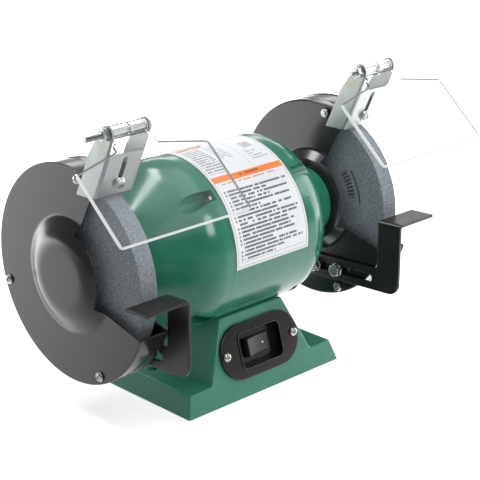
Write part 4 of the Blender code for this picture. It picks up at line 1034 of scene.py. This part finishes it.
def hexagon(across_flats, low, high, bore=0.0):
    """A chamfered hexagon along X."""
    radius = across_flats / math.sqrt(3)
    chamfer = across_flats * 0.09
    flat, beyond = across_flats / 2 * 0.96, radius * 1.02
    profile = [(low, 0.0), (low, flat), (low + chamfer, beyond), (high - chamfer, beyond), (high, flat),
               (high, 0.0)]
    solid = combine(bar(radius, low, high, facets=6), [turned(profile, 48)], "INTERSECT")
    if bore:
        solid = combine(solid, [bar(bore, low - 0.01, high + 0.01)])
    return soften(solid, 0.00025, 2)


def washer_ring(bore, outside, low, high):
    edge = (high - low) * 0.2
    profile = rounded([(low, bore, 0), (low, outside, edge), (high, outside, edge), (high, bore, 0)], True, 3)
    return turned(profile, 48, closed=True)


def thread(radius, low, high, pitch=0.0008):
    """A threaded rod end along X, as close rings."""
    profile = [(low, 0.0), (low, radius * 0.8), (low + pitch, radius)]
    for turn in range(1, int((high - low) / pitch) - 2):
        start = low + pitch * (turn + 0.5)
        profile += [(start, radius * 0.84), (start + pitch / 2, radius)]
    return turned(profile + [(high, radius), (high, 0.0)], 32)


# ---- Motor ----
def bell_radius(x):
    """Outside of an end bell: a straight skirt, a round shoulder, then a 45 degree cone."""
    along = max(0.0, x - BELL_CURVE_X)
    shoulder = BELL_CURVE * math.sin(math.pi / 4)
    on_curve = min(along, shoulder)
    curve = MOTOR_RADIUS - BELL_CURVE + math.sqrt(BELL_CURVE ** 2 - on_curve ** 2)
    return curve - max(0.0, along - shoulder)


def bell_line(inset=0.0, steps=26):
    """Points along the shoulder and cone, as far inside the surface as the inset."""
    spots = [BELL_CURVE_X + (BELL_END_X - BELL_CURVE_X) * i / steps for i in range(steps + 1)]
    return [(x, bell_radius(x) - inset) for x in spots]


def bell_section():
    """The closed outline that is turned to make the right end bell."""
    cone_end = bell_radius(BELL_END_X)
    hub_foot, hub_round, chamfer = 0.0022, 0.0018, 0.0001
    hub = [(BELL_END_X, cone_end, 0), (BELL_END_X + cone_end - HUB_RADIUS, HUB_RADIUS, hub_foot),
           (HUB_END, HUB_RADIUS, hub_round), (HUB_END, BELL_BORE, 0)]
    outside = [(BELL_RIM, MOTOR_RADIUS - chamfer), (BELL_RIM + chamfer, MOTOR_RADIUS)] + bell_line()
    inside = [(BELL_SEAT, BELL_BORE), (BELL_SEAT, bell_radius(BELL_SEAT) - BELL_WALL)]
    inside += [(x, radius) for x, radius in reversed(bell_line(BELL_WALL)) if x < BELL_SEAT]
    return outside + rounded(hub, False)[1:] + inside + [(BELL_RIM, MOTOR_RADIUS - BELL_WALL)]


def build_bells():
    """Each bell has four pockets for the bolts, with a pad of metal round each."""
    sizes = bpy.context.scene.grinder_sizes
    bell = turned(bell_section(), sizes.facets, closed=True, place=AXLE)
    spots = [about_axle(POCKET_CIRCLE, angle) for angle in BOLT_ANGLES]
    pads = [bar(POCKET_RADIUS + PAD_WALL, PAD_START, PAD_END, spot, 48) for spot in spots]
    pockets = [bar(POCKET_RADIUS, POCKET_SEAT, HUB_END, spot, 64) for spot in spots]
    keep = turned([(BELL_RIM, 0.0), (BELL_RIM, MOTOR_RADIUS - PAD_INSET)] + bell_line(PAD_INSET)
                  + [(BELL_END_X, 0.0)], sizes.facets, place=AXLE)
    pads = combine(join(*pads), [keep], "INTERSECT")
    bell = combine(combine(bell, [pads], "UNION"), pockets)

    def at_mouth(edge):
        centre = (edge.verts[0].co + edge.verts[1].co) / 2
        reach = (centre.yz - Vector((0, AXLE_Z))).length
        return MOUTH_START < centre.x < MOUTH_END and reach > bell_radius(centre.x) - PAD_INSET

    soften(bell, sizes.pocket_edge, 3, math.radians(16), at_mouth)
    show_both(bell, "end_bell", "motor")


def build_barrel():
    half, skin, thick, edge = BARREL_HALF, MOTOR_RADIUS, 0.0030, 0.0001
    profile = [(-half, skin - thick), (-half, skin - edge), (-half + edge, skin), (half - edge, skin),
               (half, skin - edge), (half, skin - thick)]
    facets = bpy.context.scene.grinder_sizes.facets
    show(turned(profile, facets, closed=True, place=AXLE), "motor_barrel", "motor")


def build_through_bolts():
    for number, angle in enumerate(BOLT_ANGLES, 1):
        place = about_axle(BOLT_CIRCLE, angle)
        seat = place @ shift(POCKET_SEAT)
        right = cross_screw(seat, 30.0, head=0.0042, height=0.0026, shank=0.0025, reach=0.0)
        left = mirrored(right)
        rod = bar(BOLT_RADIUS, -POCKET_SEAT, POCKET_SEAT, place, 24)
        show(join(right, left, rod), f"through_bolt_{number}", "zinc")


def finish_inside():
    """Finishes for the CAD pieces inside the motor, which stay as they are."""
    refinish("winding", "left_winding", "right_winding")
    refinish("steel", "left_bearing", "right_bearing", "spindle")
    refinish("lamination", "stator_core", "rotor_core")


def build_label():
    """Foil wrapped round the barrel, with its print laid out in metres."""
    shape = bmesh.new()
    low, high = MOTOR_RADIUS + 0.0002, MOTOR_RADIUS + GAP + 0.0003
    section = [(-LABEL_HALF, low), (LABEL_HALF, low), (LABEL_HALF, high), (-LABEL_HALF, high)]
    face = shape.faces.new(wire(shape, [(x, -radius, 0.0) for x, radius in section])[0])
    bmesh.ops.rotate(shape, verts=shape.verts, cent=(0, 0, 0), matrix=Matrix.Rotation(-LABEL_START, 3, "X"))
    bmesh.ops.spin(shape, geom=[face], cent=(0, 0, 0), axis=(-1, 0, 0), angle=LABEL_ARC, steps=64)
    bmesh.ops.remove_doubles(shape, verts=shape.verts, dist=MERGE)
    bmesh.ops.recalc_face_normals(shape, faces=shape.faces)
    layer = shape.loops.layers.uv.new("print")
    for face in shape.faces:
        for loop in face.loops:
            x, y, z = loop.vert.co
            loop[layer].uv = (x + LABEL_HALF, (math.atan2(z, -y) - LABEL_START) * MOTOR_RADIUS)
    show(moved(shape, AXLE), "label_plate", "label")


# ---- Wheels ----
def build_wheels():
    low, high, bore, rim, soft = WHEEL_LOW.x, WHEEL_HIGH.x, WHEEL_BORE, WHEEL_RADIUS, 0.0010
    profile = rounded([(low, bore, 0), (low, rim, soft), (high, rim, soft), (high, bore, 0)], True, 3)
    facets = bpy.context.scene.grinder_sizes.facets
    show_both(turned(profile, facets, closed=True, place=AXLE), "grinding_wheel", "wheel")
    for part in ("inner_flange", "outer_flange"):
        show_both(copy_of(f"right_{part}"), part, "steel")
    near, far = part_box("right_spindle_nut")
    nut = hexagon(across_flats=0.0190, low=near.x, high=far.x, bore=bore)
    show_both(moved(nut, AXLE), "spindle_nut", "zinc")


# ---- Guards ----
def dome(x, height, foot, top, foot_round, top_round):
    """A soft cone from the flat plate up to the raised middle, from its foot inwards."""
    corners = [(x, foot + top, 0.0), (x, foot, foot_round), (x + height, top, top_round),
               (x + height, SPINDLE_OPENING, 0.0)]
    return rounded(corners, False, 8)[1:]


def through_notch_ring(points):
    """Adds the point of a profile at the radius where the notch's round edge will be cut."""
    below = max((point for point in points if point[1] < NOTCH_RADIUS), key=lambda point: point[1])
    above = min((point for point in points if point[1] >= NOTCH_RADIUS), key=lambda point: point[1])
    share = (NOTCH_RADIUS - below[1]) / (above[1] - below[1])
    extra = (below[0] + (above[0] - below[0]) * share, NOTCH_RADIUS)
    kept = [point for point in points if point != above or share < 0.99]
    return sorted(kept + [extra], key=lambda point: point[1])


def polar(radius, angle):
    return Vector((radius * math.cos(angle), radius * math.sin(angle)))


def spot_of(face):
    """A face's middle in the side view."""
    return face.calc_center_median().yz


def cut_line(shape, start, end, chosen):
    """Adds edges where a plane along the spindle, through two side-view points, crosses."""
    along = (end - start).normalized()
    normal = Vector((0, -along.y, along.x))
    geom = [face for face in shape.faces if spot_of(face).x < NOTCH_SIDE and chosen(face)]
    edges = {edge for face in geom for edge in face.edges}
    corners = {vertex for face in geom for vertex in face.verts}
    bmesh.ops.bisect_plane(shape, geom=geom + list(edges) + list(corners), dist=0.00002,
                           plane_co=(0, start.x, start.y), plane_no=normal)


def open_guard(shape):
    """Cuts the opening for the work out of a plate and band turned about the X axis."""
    upward = Vector((-math.sin(NOTCH_LEAN), math.cos(NOTCH_LEAN)))
    forward = Vector((-math.cos(NOTCH_LIP_SLOPE), -math.sin(NOTCH_LIP_SLOPE)))
    lip = polar(NOTCH_RADIUS, NOTCH_END)

    def on_band(face):
        return spot_of(face).length >= BAND_START

    cut_line(shape, NOTCH_CORNER, NOTCH_CORNER + upward, lambda f: not on_band(f) and spot_of(f).y > 0)
    cut_line(shape, lip, lip + forward, lambda f: not on_band(f) and spot_of(f).y < 0)
    for angle in (BAND_TOP_ANGLE, BAND_LOW_ANGLE):
        edge = polar(1.0, angle)
        cut_line(shape, Vector((0, 0)), edge, lambda f: on_band(f) and spot_of(f).dot(edge) > 0)

    def inside_notch(face):
        spot = spot_of(face)
        if on_band(face):
            return BAND_TOP_ANGLE < math.atan2(spot.y, spot.x) % FULL_TURN < BAND_LOW_ANGLE
        ahead_of_edge = (spot - NOTCH_CORNER).dot(Vector((-upward.y, upward.x))) > 0
        above_lip = (spot - lip).dot(Vector((forward.y, -forward.x))) > 0
        return spot.length > NOTCH_RADIUS and ahead_of_edge and above_lip and spot.x < 0

    gone = [face for face in shape.faces if inside_notch(face)]
    bmesh.ops.delete(shape, geom=gone, context="FACES")


def face_outwards(shape, outward):
    """Turns an open skin so that its faces look the way a test asks."""
    shape.normal_update()
    if sum(face.calc_area() * outward(face) for face in shape.faces) < 0:
        bmesh.ops.reverse_faces(shape, faces=shape.faces)


def show_sheet(skin, part, look, thickness, edge):
    """Shows an open skin on both ends as sheet metal."""
    for piece in show_both(skin, part, look):
        wall(piece, thickness, edge)


def build_housings():
    """The inner plate with its dome, and the band with its shallow groove."""
    sizes = bpy.context.scene.grinder_sizes
    profile = through_notch_ring(dome(PLATE_X, height=-0.0077, foot=0.0440, top=0.0350, foot_round=0.0050,
                                      top_round=0.0060))
    depths = (0.0, GROOVE_DEPTH, GROOVE_DEPTH, 0.0)
    band = [(x, GUARD_RADIUS - depth, 0) for x, depth in zip(GROOVE_X, depths)]
    profile += rounded([(PLATE_X, PLATE_START, 0), (PLATE_X, GUARD_RADIUS, GUARD_CORNER), *band,
                        (BAND_END_X, GUARD_RADIUS, 0)], False)
    skin = turned(profile, sizes.facets)
    open_guard(skin)
    face_outwards(skin, lambda f: 0 if spot_of(f).length >= GUARD_RADIUS - GUARD_CORNER else -f.normal.x)
    show_sheet(moved(skin, AXLE), "guard_housing", "guard", GUARD_SHEET, sizes.sheet_edge)


def build_covers():
    sizes = bpy.context.scene.grinder_sizes
    crown = [(COVER_FACE_X + sizes.dome_height, 0.0)]
    profile = crown + through_notch_ring(dome(COVER_FACE_X, sizes.dome_height, foot=0.0465, top=0.0290,
                                              foot_round=0.0080, top_round=0.0300))
    profile += rounded([(COVER_FACE_X, PLATE_START, 0), (COVER_FACE_X, COVER_RADIUS, COVER_CORNER),
                        (BAND_END_X + GAP, COVER_RADIUS, 0)], False, 4)
    cover = turned(profile, sizes.facets)
    open_guard(cover)
    face_outwards(cover, lambda f: f.normal.x)
    show_sheet(moved(cover, AXLE), "guard_cover", "guard", GUARD_SHEET, sizes.sheet_edge)


def build_guard_tabs():
    """The tab of each housing that its shield bracket is screwed to."""
    tab = soften(brick(TAB_LOW, TAB_HIGH, bracket_place()), 0.0003, 2)
    show_both(tab, "guard_housing", "guard", "bracket_tab", replaced=False)


def build_guard_screws():
    for number, angle in enumerate(GUARD_SCREW_ANGLES, 1):
        place = about_axle(GUARD_SCREW_CIRCLE, angle, COVER_FACE_X)
        screw = cross_screw(place, 25.0 * number, head=0.0040, height=0.0025, shank=0.0020, reach=0.0330)
        nut = hexagon(across_flats=0.0070, low=-0.0320, high=-0.0288, bore=0.0020)
        show_both(join(screw, moved(nut, place)), f"guard_screw_{number}", "zinc")


# ---- Tool rests ----
def rest_height(y):
    return REST_HEIGHT - REST_RISE * y


def rest_outline():
    """The upright plate of a rest in the side view, before its top is bent over, and its slot."""
    front, back, end, half, nose = -0.1020, -0.0785, 0.0065, 0.0100, 0.0100
    end_round, inner_round = 0.002, 0.004
    outline = [(front, REST_TOP), (front, 0.0)]
    outline += arc((front + nose, 0.0), nose, math.pi, math.pi * 1.5, 14)[1:]
    outline += rounded([(front + nose, -half, 0), (end, -half, end_round), (end, half, end_round),
                        (back, half, inner_round), (back, REST_TOP, 0)], False, 6)[1:]
    slot_half, slot_front, slot_back = 0.0034, -0.0730, 0.0020
    slot = arc((slot_back - slot_half, 0), slot_half, -QUARTER, QUARTER, 12)
    slot += arc((slot_front + slot_half, 0), slot_half, QUARTER, QUARTER * 3, 12)
    return outline, slot


def build_rests():
    """Bent sheet: an arm with a slot, an upright and the table on top."""
    low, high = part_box("right_tool_rest")
    outer = low.x
    skin = bmesh.new()
    filled(skin, rest_outline())
    moved(skin, shift(outer) @ SIDE_PLANE)
    edge = max(skin.edges, key=lambda e: min(v.co.z for v in e.verts) * 1000 + e.calc_length())
    made = bmesh.ops.spin(skin, geom=[edge, *edge.verts], cent=(outer + REST_BEND, 0, REST_TOP),
                          axis=(0, 1, 0), angle=QUARTER, steps=8)
    last = [item for item in made["geom_last"] if isinstance(item, bmesh.types.BMEdge)]
    pulled = bmesh.ops.extrude_edge_only(skin, edges=last)
    tip = [item for item in pulled["geom"] if isinstance(item, bmesh.types.BMVert)]
    bmesh.ops.translate(skin, verts=tip, vec=(high.x - outer - REST_BEND, 0, 0))
    bmesh.ops.remove_doubles(skin, verts=skin.verts, dist=MERGE)
    bmesh.ops.recalc_face_normals(skin, faces=skin.faces)
    face_outwards(skin, lambda f: f.normal.z - f.normal.x)
    for vertex in skin.verts:
        vertex.co.z += rest_height(vertex.co.y)
    show_sheet(skin, "tool_rest", "rest", REST_SHEET, bpy.context.scene.grinder_sizes.sheet_edge * 1.5)
    for number, y in enumerate(REST_BOLT_Y, 1):
        seat = 0.0014
        whole = join(hexagon(across_flats=0.0100, low=seat, high=0.0054),
                     washer_ring(bore=0.0032, outside=0.0060, low=0.0, high=seat),
                     bar(radius=0.0030, low=-0.0068, high=seat + 0.0002))
        place = shift(outer - GAP, y, rest_height(y)) @ swing(math.pi, "Z") @ swing(0.4 * number, "X")
        show_both(moved(whole, place), f"rest_bolt_{number}", "zinc")


# ---- Shields and brackets ----
def build_brackets():
    edge = bpy.context.scene.grinder_sizes.sheet_edge
    for side in SIDES:
        node = f"{side}_shield_bracket"
        show(soften(copy_of(node), edge, 2, math.radians(50)), node, "bracket")
    spot = bracket_place() @ shift(z=0.0115) @ swing(-QUARTER, "Z")
    screw = cross_screw(spot, 20.0, head=0.0042, height=0.0026, shank=0.0020, reach=0.0070, washer=0.0050,
                        washer_height=0.0014)
    show_both(screw, "bracket_screw", "zinc")


def build_hinges():
    """Each hinge bolt's head is at its +X ear and its nut at its -X ear."""
    ear, rod_radius, washer, washer_radius = EAR_OUTSIDE, 0.0025, 0.0017, 0.0050
    for side in SIDES:
        place = shift(middle(f"{side}_shield_bracket").x, HINGE[side].y, HINGE[side].z)
        tail_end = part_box(f"{side}_hinge_bolt")[0].x - place.translation.x
        head = cross_screw(shift(ear + 0.0014), 10.0, head=0.0044, height=0.0026, shank=0.0025, reach=0.0)
        rod = turned([(-ear, 0.0), (-ear, rod_radius), (ear + 0.0020, rod_radius), (ear + 0.0020, 0.0)], 40)
        tail = thread(rod_radius, tail_end, -ear + 0.0005)
        under_head = washer_ring(bore=0.0027, outside=washer_radius, low=ear + GAP, high=ear + washer)
        show(moved(join(head, rod, tail, under_head), place), f"{side}_hinge_bolt", "zinc")
        nut = hexagon(across_flats=0.0080, low=-ear - 0.0056, high=-ear - washer, bore=SHIELD_BORE)
        under_nut = washer_ring(bore=SHIELD_BORE, outside=washer_radius, low=-ear - washer, high=-ear - GAP)
        show(moved(join(nut, under_nut), place), f"{side}_hinge_nut", "zinc")


def shield_outline():
    """The pane seen from above: X across and -Y out from the hinge."""
    half, ear, neck = SHIELD_WIDTH / 2, EAR_OUTSIDE + 0.0010, -0.0104
    front_round, rear_round, neck_round = 0.0035, 0.0030, 0.0008
    slope = (half - ear) * math.tan(SHOULDER_SLOPE)
    right = [(half, -SHIELD_REACH, front_round), (half, -SHIELD_SHOULDER - slope, rear_round),
             (ear, -SHIELD_SHOULDER, 0.0), (ear, neck, neck_round), (KNUCKLE_HALF, neck, neck_round),
             (KNUCKLE_HALF, -0.0010, 0.0)]
    return rounded(right + [(-x, y, r) for x, y, r in reversed(right)])


def build_shields():
    """A bevelled pane that ends in two tubes round the hinge bolt."""
    thick, outside, edge, split = 0.0025, 0.0055, 0.0006, 0.0003
    pane = plate([shield_outline()], -thick / 2, thick / 2)
    width = bpy.context.scene.grinder_sizes.shield_edge
    soften(pane, width, 2, math.radians(50), lambda e: max(v.co.y for v in e.verts) < -0.010)
    tubes = []
    for low, high in ((-KNUCKLE_HALF, -split), (split, KNUCKLE_HALF)):
        corners = [(low, 0.0, 0), (low, outside, edge), (high, outside, edge), (high, 0.0, 0)]
        profile = rounded(corners, False, 3)
        tubes.append(turned(profile, 48))
    whole = combine(pane, [join(*tubes)], "UNION")
    between_tubes = brick((-0.0005, -0.0062, -0.01), (0.0005, 0.01, 0.01))
    whole = combine(whole, [bar(SHIELD_BORE, -0.03, 0.03, facets=40), between_tubes])
    moved(whole, swing(SHIELD_TILT, "X"))
    for side, way in WAYS.items():
        spot = shift(way * WHEEL_X, HINGE[side].y, HINGE[side].z)
        show(moved(whole.copy(), spot), f"{side}_eye_shield", "clear")
    whole.free()


# ---- Stage ----
LAMPS = {  # width, height and place of each
    "top": (2.0, 2.0, (-0.25, 0.10, 1.80)),
    "right": (1.3, 1.1, (1.35, -0.38, 0.55)),
    "strip": (0.60, 0.58, (-0.15, -1.28, 0.90)),
    "back": (0.75, 0.35, (-0.50, 1.00, 1.35)),
    "rim": (1.3, 0.28, (1.05, 1.10, 0.75)),
}
CAMERA_PLACE, CAMERA_AIM = Vector((-0.8065, -0.8619, 0.5408)), Vector((0.032, 0.0, 0.104))
CAMERA_ROLL = math.radians(0.14)
FLOOR_RADIUS = 6.0
WHITE = (1.0, 1.0, 1.0, 1.0)


def looking(start, aim):
    """The turn that points a lamp or camera from one place at another."""
    return (aim - start).to_track_quat("-Z", "Y")


def put_out(name, data):
    """Adds a new object to the scene."""
    item = bpy.data.objects.new(name, data)
    bpy.context.scene.collection.objects.link(item)
    return item


def build_lamps():
    for name, (width, height, place) in LAMPS.items():
        lamp = bpy.data.lights.new(f"{name}_lamp", "AREA")
        lamp.shape = "RECTANGLE"
        lamp.size = width
        lamp.size_y = height
        lamp.energy = getattr(bpy.context.scene.grinder_stage, f"{name}_power")
        item = put_out(lamp.name, lamp)
        item.location = place
        item.rotation_euler = looking(Vector(place), Vector((0, 0, AXLE_Z))).to_euler()


def floor_finish():
    """White floor that fades into the sky, and is dimmer or brighter in reflections."""
    tint = bpy.context.scene.grinder_colours.floor
    made = Surface("studio_floor")
    tone = made.mix(made.smudge(0.4, 1.0, 0.985), shade(tint, 0.97), shade(tint))
    reflected = made.put("LightPath").outputs["Is Glossy Ray"]
    x, y, _ = made.parts(made.place)
    diagonal = made.work("ADD", x, y)
    dim = made.times(made.remap(diagonal, 0.10, -0.35), reflected)
    reach = made.vector("LENGTH", made.place)
    seen = made.times(made.in_view(), made.remap(reach, 0.4, 2.0, 0.45, 1.0))
    near = made.remap(diagonal, -0.35, 0.45, 0.0, 2.1)
    far = made.remap(y, 0.5, 1.2, 0.0, 1.4)
    glow = made.work("ADD", made.times(made.work("ADD", near, far), reflected), seen)
    made.fill(made.shader.inputs, {
        "Base Color": made.mix(dim, tone, shade(tint, 0.45)),
        "Roughness": 0.9,
        "Specular IOR Level": 0.0,
        "Emission Color": WHITE,
        "Emission Strength": glow,
    })
    return made.material


def build_floor():
    shape = bmesh.new()
    bmesh.ops.create_circle(shape, cap_ends=True, segments=96, radius=FLOOR_RADIUS,
                            matrix=shift(z=FRAME_BOX[0][2] - 0.0002))
    mesh = bpy.data.meshes.new("studio_floor")
    shape.to_mesh(mesh)
    shape.free()
    mesh.materials.append(floor_finish())
    put_out("studio_floor", mesh)


def build_sky():
    """White where the camera sees it; elsewhere a soft light that is stronger on one side."""
    strength = bpy.context.scene.grinder_stage.sky
    world = bpy.data.worlds.new("studio_sky")
    world.use_nodes = True
    world.node_tree.nodes.clear()
    sky = Nodes(world.node_tree)
    towards = sky.vector("DOT_PRODUCT", sky.put("TexCoord").outputs["Generated"], (0.75, 0.35, 0.30))
    level = sky.remap(towards, -0.5, 0.8, strength * 0.5, strength * 1.2, smooth=True)
    lit = sky.put("Background", {0: WHITE, 1: level}).outputs[0]
    seen = sky.put("Background", {0: WHITE, 1: 1.0}).outputs[0]
    mixed = sky.put("MixShader", {0: sky.in_view(), 1: lit, 2: seen}).outputs[0]
    sky.put("OutputWorld", {0: mixed}, is_active_output=True)
    bpy.context.scene.world = world


def build_camera():
    camera = bpy.data.cameras.new("camera")
    camera.lens = bpy.context.scene.grinder_stage.lens
    camera.sensor_width = 36.0
    item = put_out("camera", camera)
    turn = looking(CAMERA_PLACE, CAMERA_AIM).to_matrix().to_4x4()
    item.matrix_world = Matrix.Translation(CAMERA_PLACE) @ turn @ swing(CAMERA_ROLL, "Z")
    bpy.context.scene.camera = item


def set_view():
    bpy.context.scene.view_settings.view_transform = "Standard"


# ---- Operators ----
class Step:
    """What every step's operator does: it calls its builders in turn."""
    builders = ()

    def execute(self, _context):
        for build in self.builders:
            build()
        return {"FINISHED"}


class GRINDER_OT_stage(Step, bpy.types.Operator):
    """Add the camera, lamps, sky and floor"""
    bl_idname = "grinder.stage"
    bl_label = "Stage"
    builders = (build_camera, build_sky, build_floor, build_lamps, set_view)


class GRINDER_OT_base(Step, bpy.types.Operator):
    """Build the cast base and finish what is fitted to it"""
    bl_idname = "grinder.base"
    bl_label = "Base"
    builders = (build_base,)


class GRINDER_OT_switch(Step, bpy.types.Operator):
    """Build the switch plate, rocker and screws"""
    bl_idname = "grinder.switch"
    bl_label = "Switch"
    builders = (build_switch,)


class GRINDER_OT_motor(Step, bpy.types.Operator):
    """Build the barrel, end bells and through bolts"""
    bl_idname = "grinder.motor"
    bl_label = "Motor"
    builders = (build_bells, build_barrel, build_through_bolts, finish_inside)


class GRINDER_OT_label(Step, bpy.types.Operator):
    """Wrap the printed foil round the barrel"""
    bl_idname = "grinder.label"
    bl_label = "Label"
    builders = (build_label,)


class GRINDER_OT_wheels(Step, bpy.types.Operator):
    """Build the grinding wheels, their clamps and nuts"""
    bl_idname = "grinder.wheels"
    bl_label = "Wheels"
    builders = (build_wheels,)


class GRINDER_OT_guards(Step, bpy.types.Operator):
    """Build the guards, their covers and screws"""
    bl_idname = "grinder.guards"
    bl_label = "Guards"
    builders = (build_housings, build_covers, build_guard_tabs, build_guard_screws)


class GRINDER_OT_rests(Step, bpy.types.Operator):
    """Build the tool rests and their bolts"""
    bl_idname = "grinder.rests"
    bl_label = "Tool rests"
    builders = (build_rests,)


class GRINDER_OT_brackets(Step, bpy.types.Operator):
    """Build the shield brackets, their screws and hinges"""
    bl_idname = "grinder.brackets"
    bl_label = "Brackets and hinges"
    builders = (build_brackets, build_hinges)


class GRINDER_OT_shields(Step, bpy.types.Operator):
    """Build the clear eye shields"""
    bl_idname = "grinder.shields"
    bl_label = "Eye shields"
    builders = (build_shields,)


STEPS = (GRINDER_OT_stage, GRINDER_OT_base, GRINDER_OT_switch, GRINDER_OT_motor, GRINDER_OT_label,
         GRINDER_OT_wheels, GRINDER_OT_guards, GRINDER_OT_rests, GRINDER_OT_brackets, GRINDER_OT_shields)
SETTINGS = (("grinder_sizes", GrinderSizes), ("grinder_colours", GrinderColours),
            ("grinder_stage", GrinderStage))


class GRINDER_PT_sidebar(bpy.types.Panel):
    """Sizes, colours and steps of the bench grinder"""
    bl_idname = "GRINDER_PT_sidebar"
    bl_label = "Bench Grinder"
    bl_space_type = "VIEW_3D"
    bl_region_type = "UI"
    bl_category = "Grinder"

    def draw(self, context):
        for name, group in SETTINGS:
            section = self.layout.box()
            section.label(text=group.__doc__)
            for setting in group.__annotations__:
                section.prop(getattr(context.scene, name), setting)
        for step in STEPS:
            self.layout.operator(step.bl_idname)


CLASSES = (GrinderSizes, GrinderColours, GrinderStage, *STEPS, GRINDER_PT_sidebar)


def register():
    for item in CLASSES:
        bpy.utils.register_class(item)
    for name, group in SETTINGS:
        setattr(bpy.types.Scene, name, PointerProperty(type=group))


def unregister():
    for name, _ in SETTINGS:
        delattr(bpy.types.Scene, name)
    for item in reversed(CLASSES):
        bpy.utils.unregister_class(item)


def main():
    register()
    for step in STEPS:
        family, action = step.bl_idname.split(".")
        getattr(getattr(bpy.ops, family), action)()


if __name__ == "__main__":
    main()
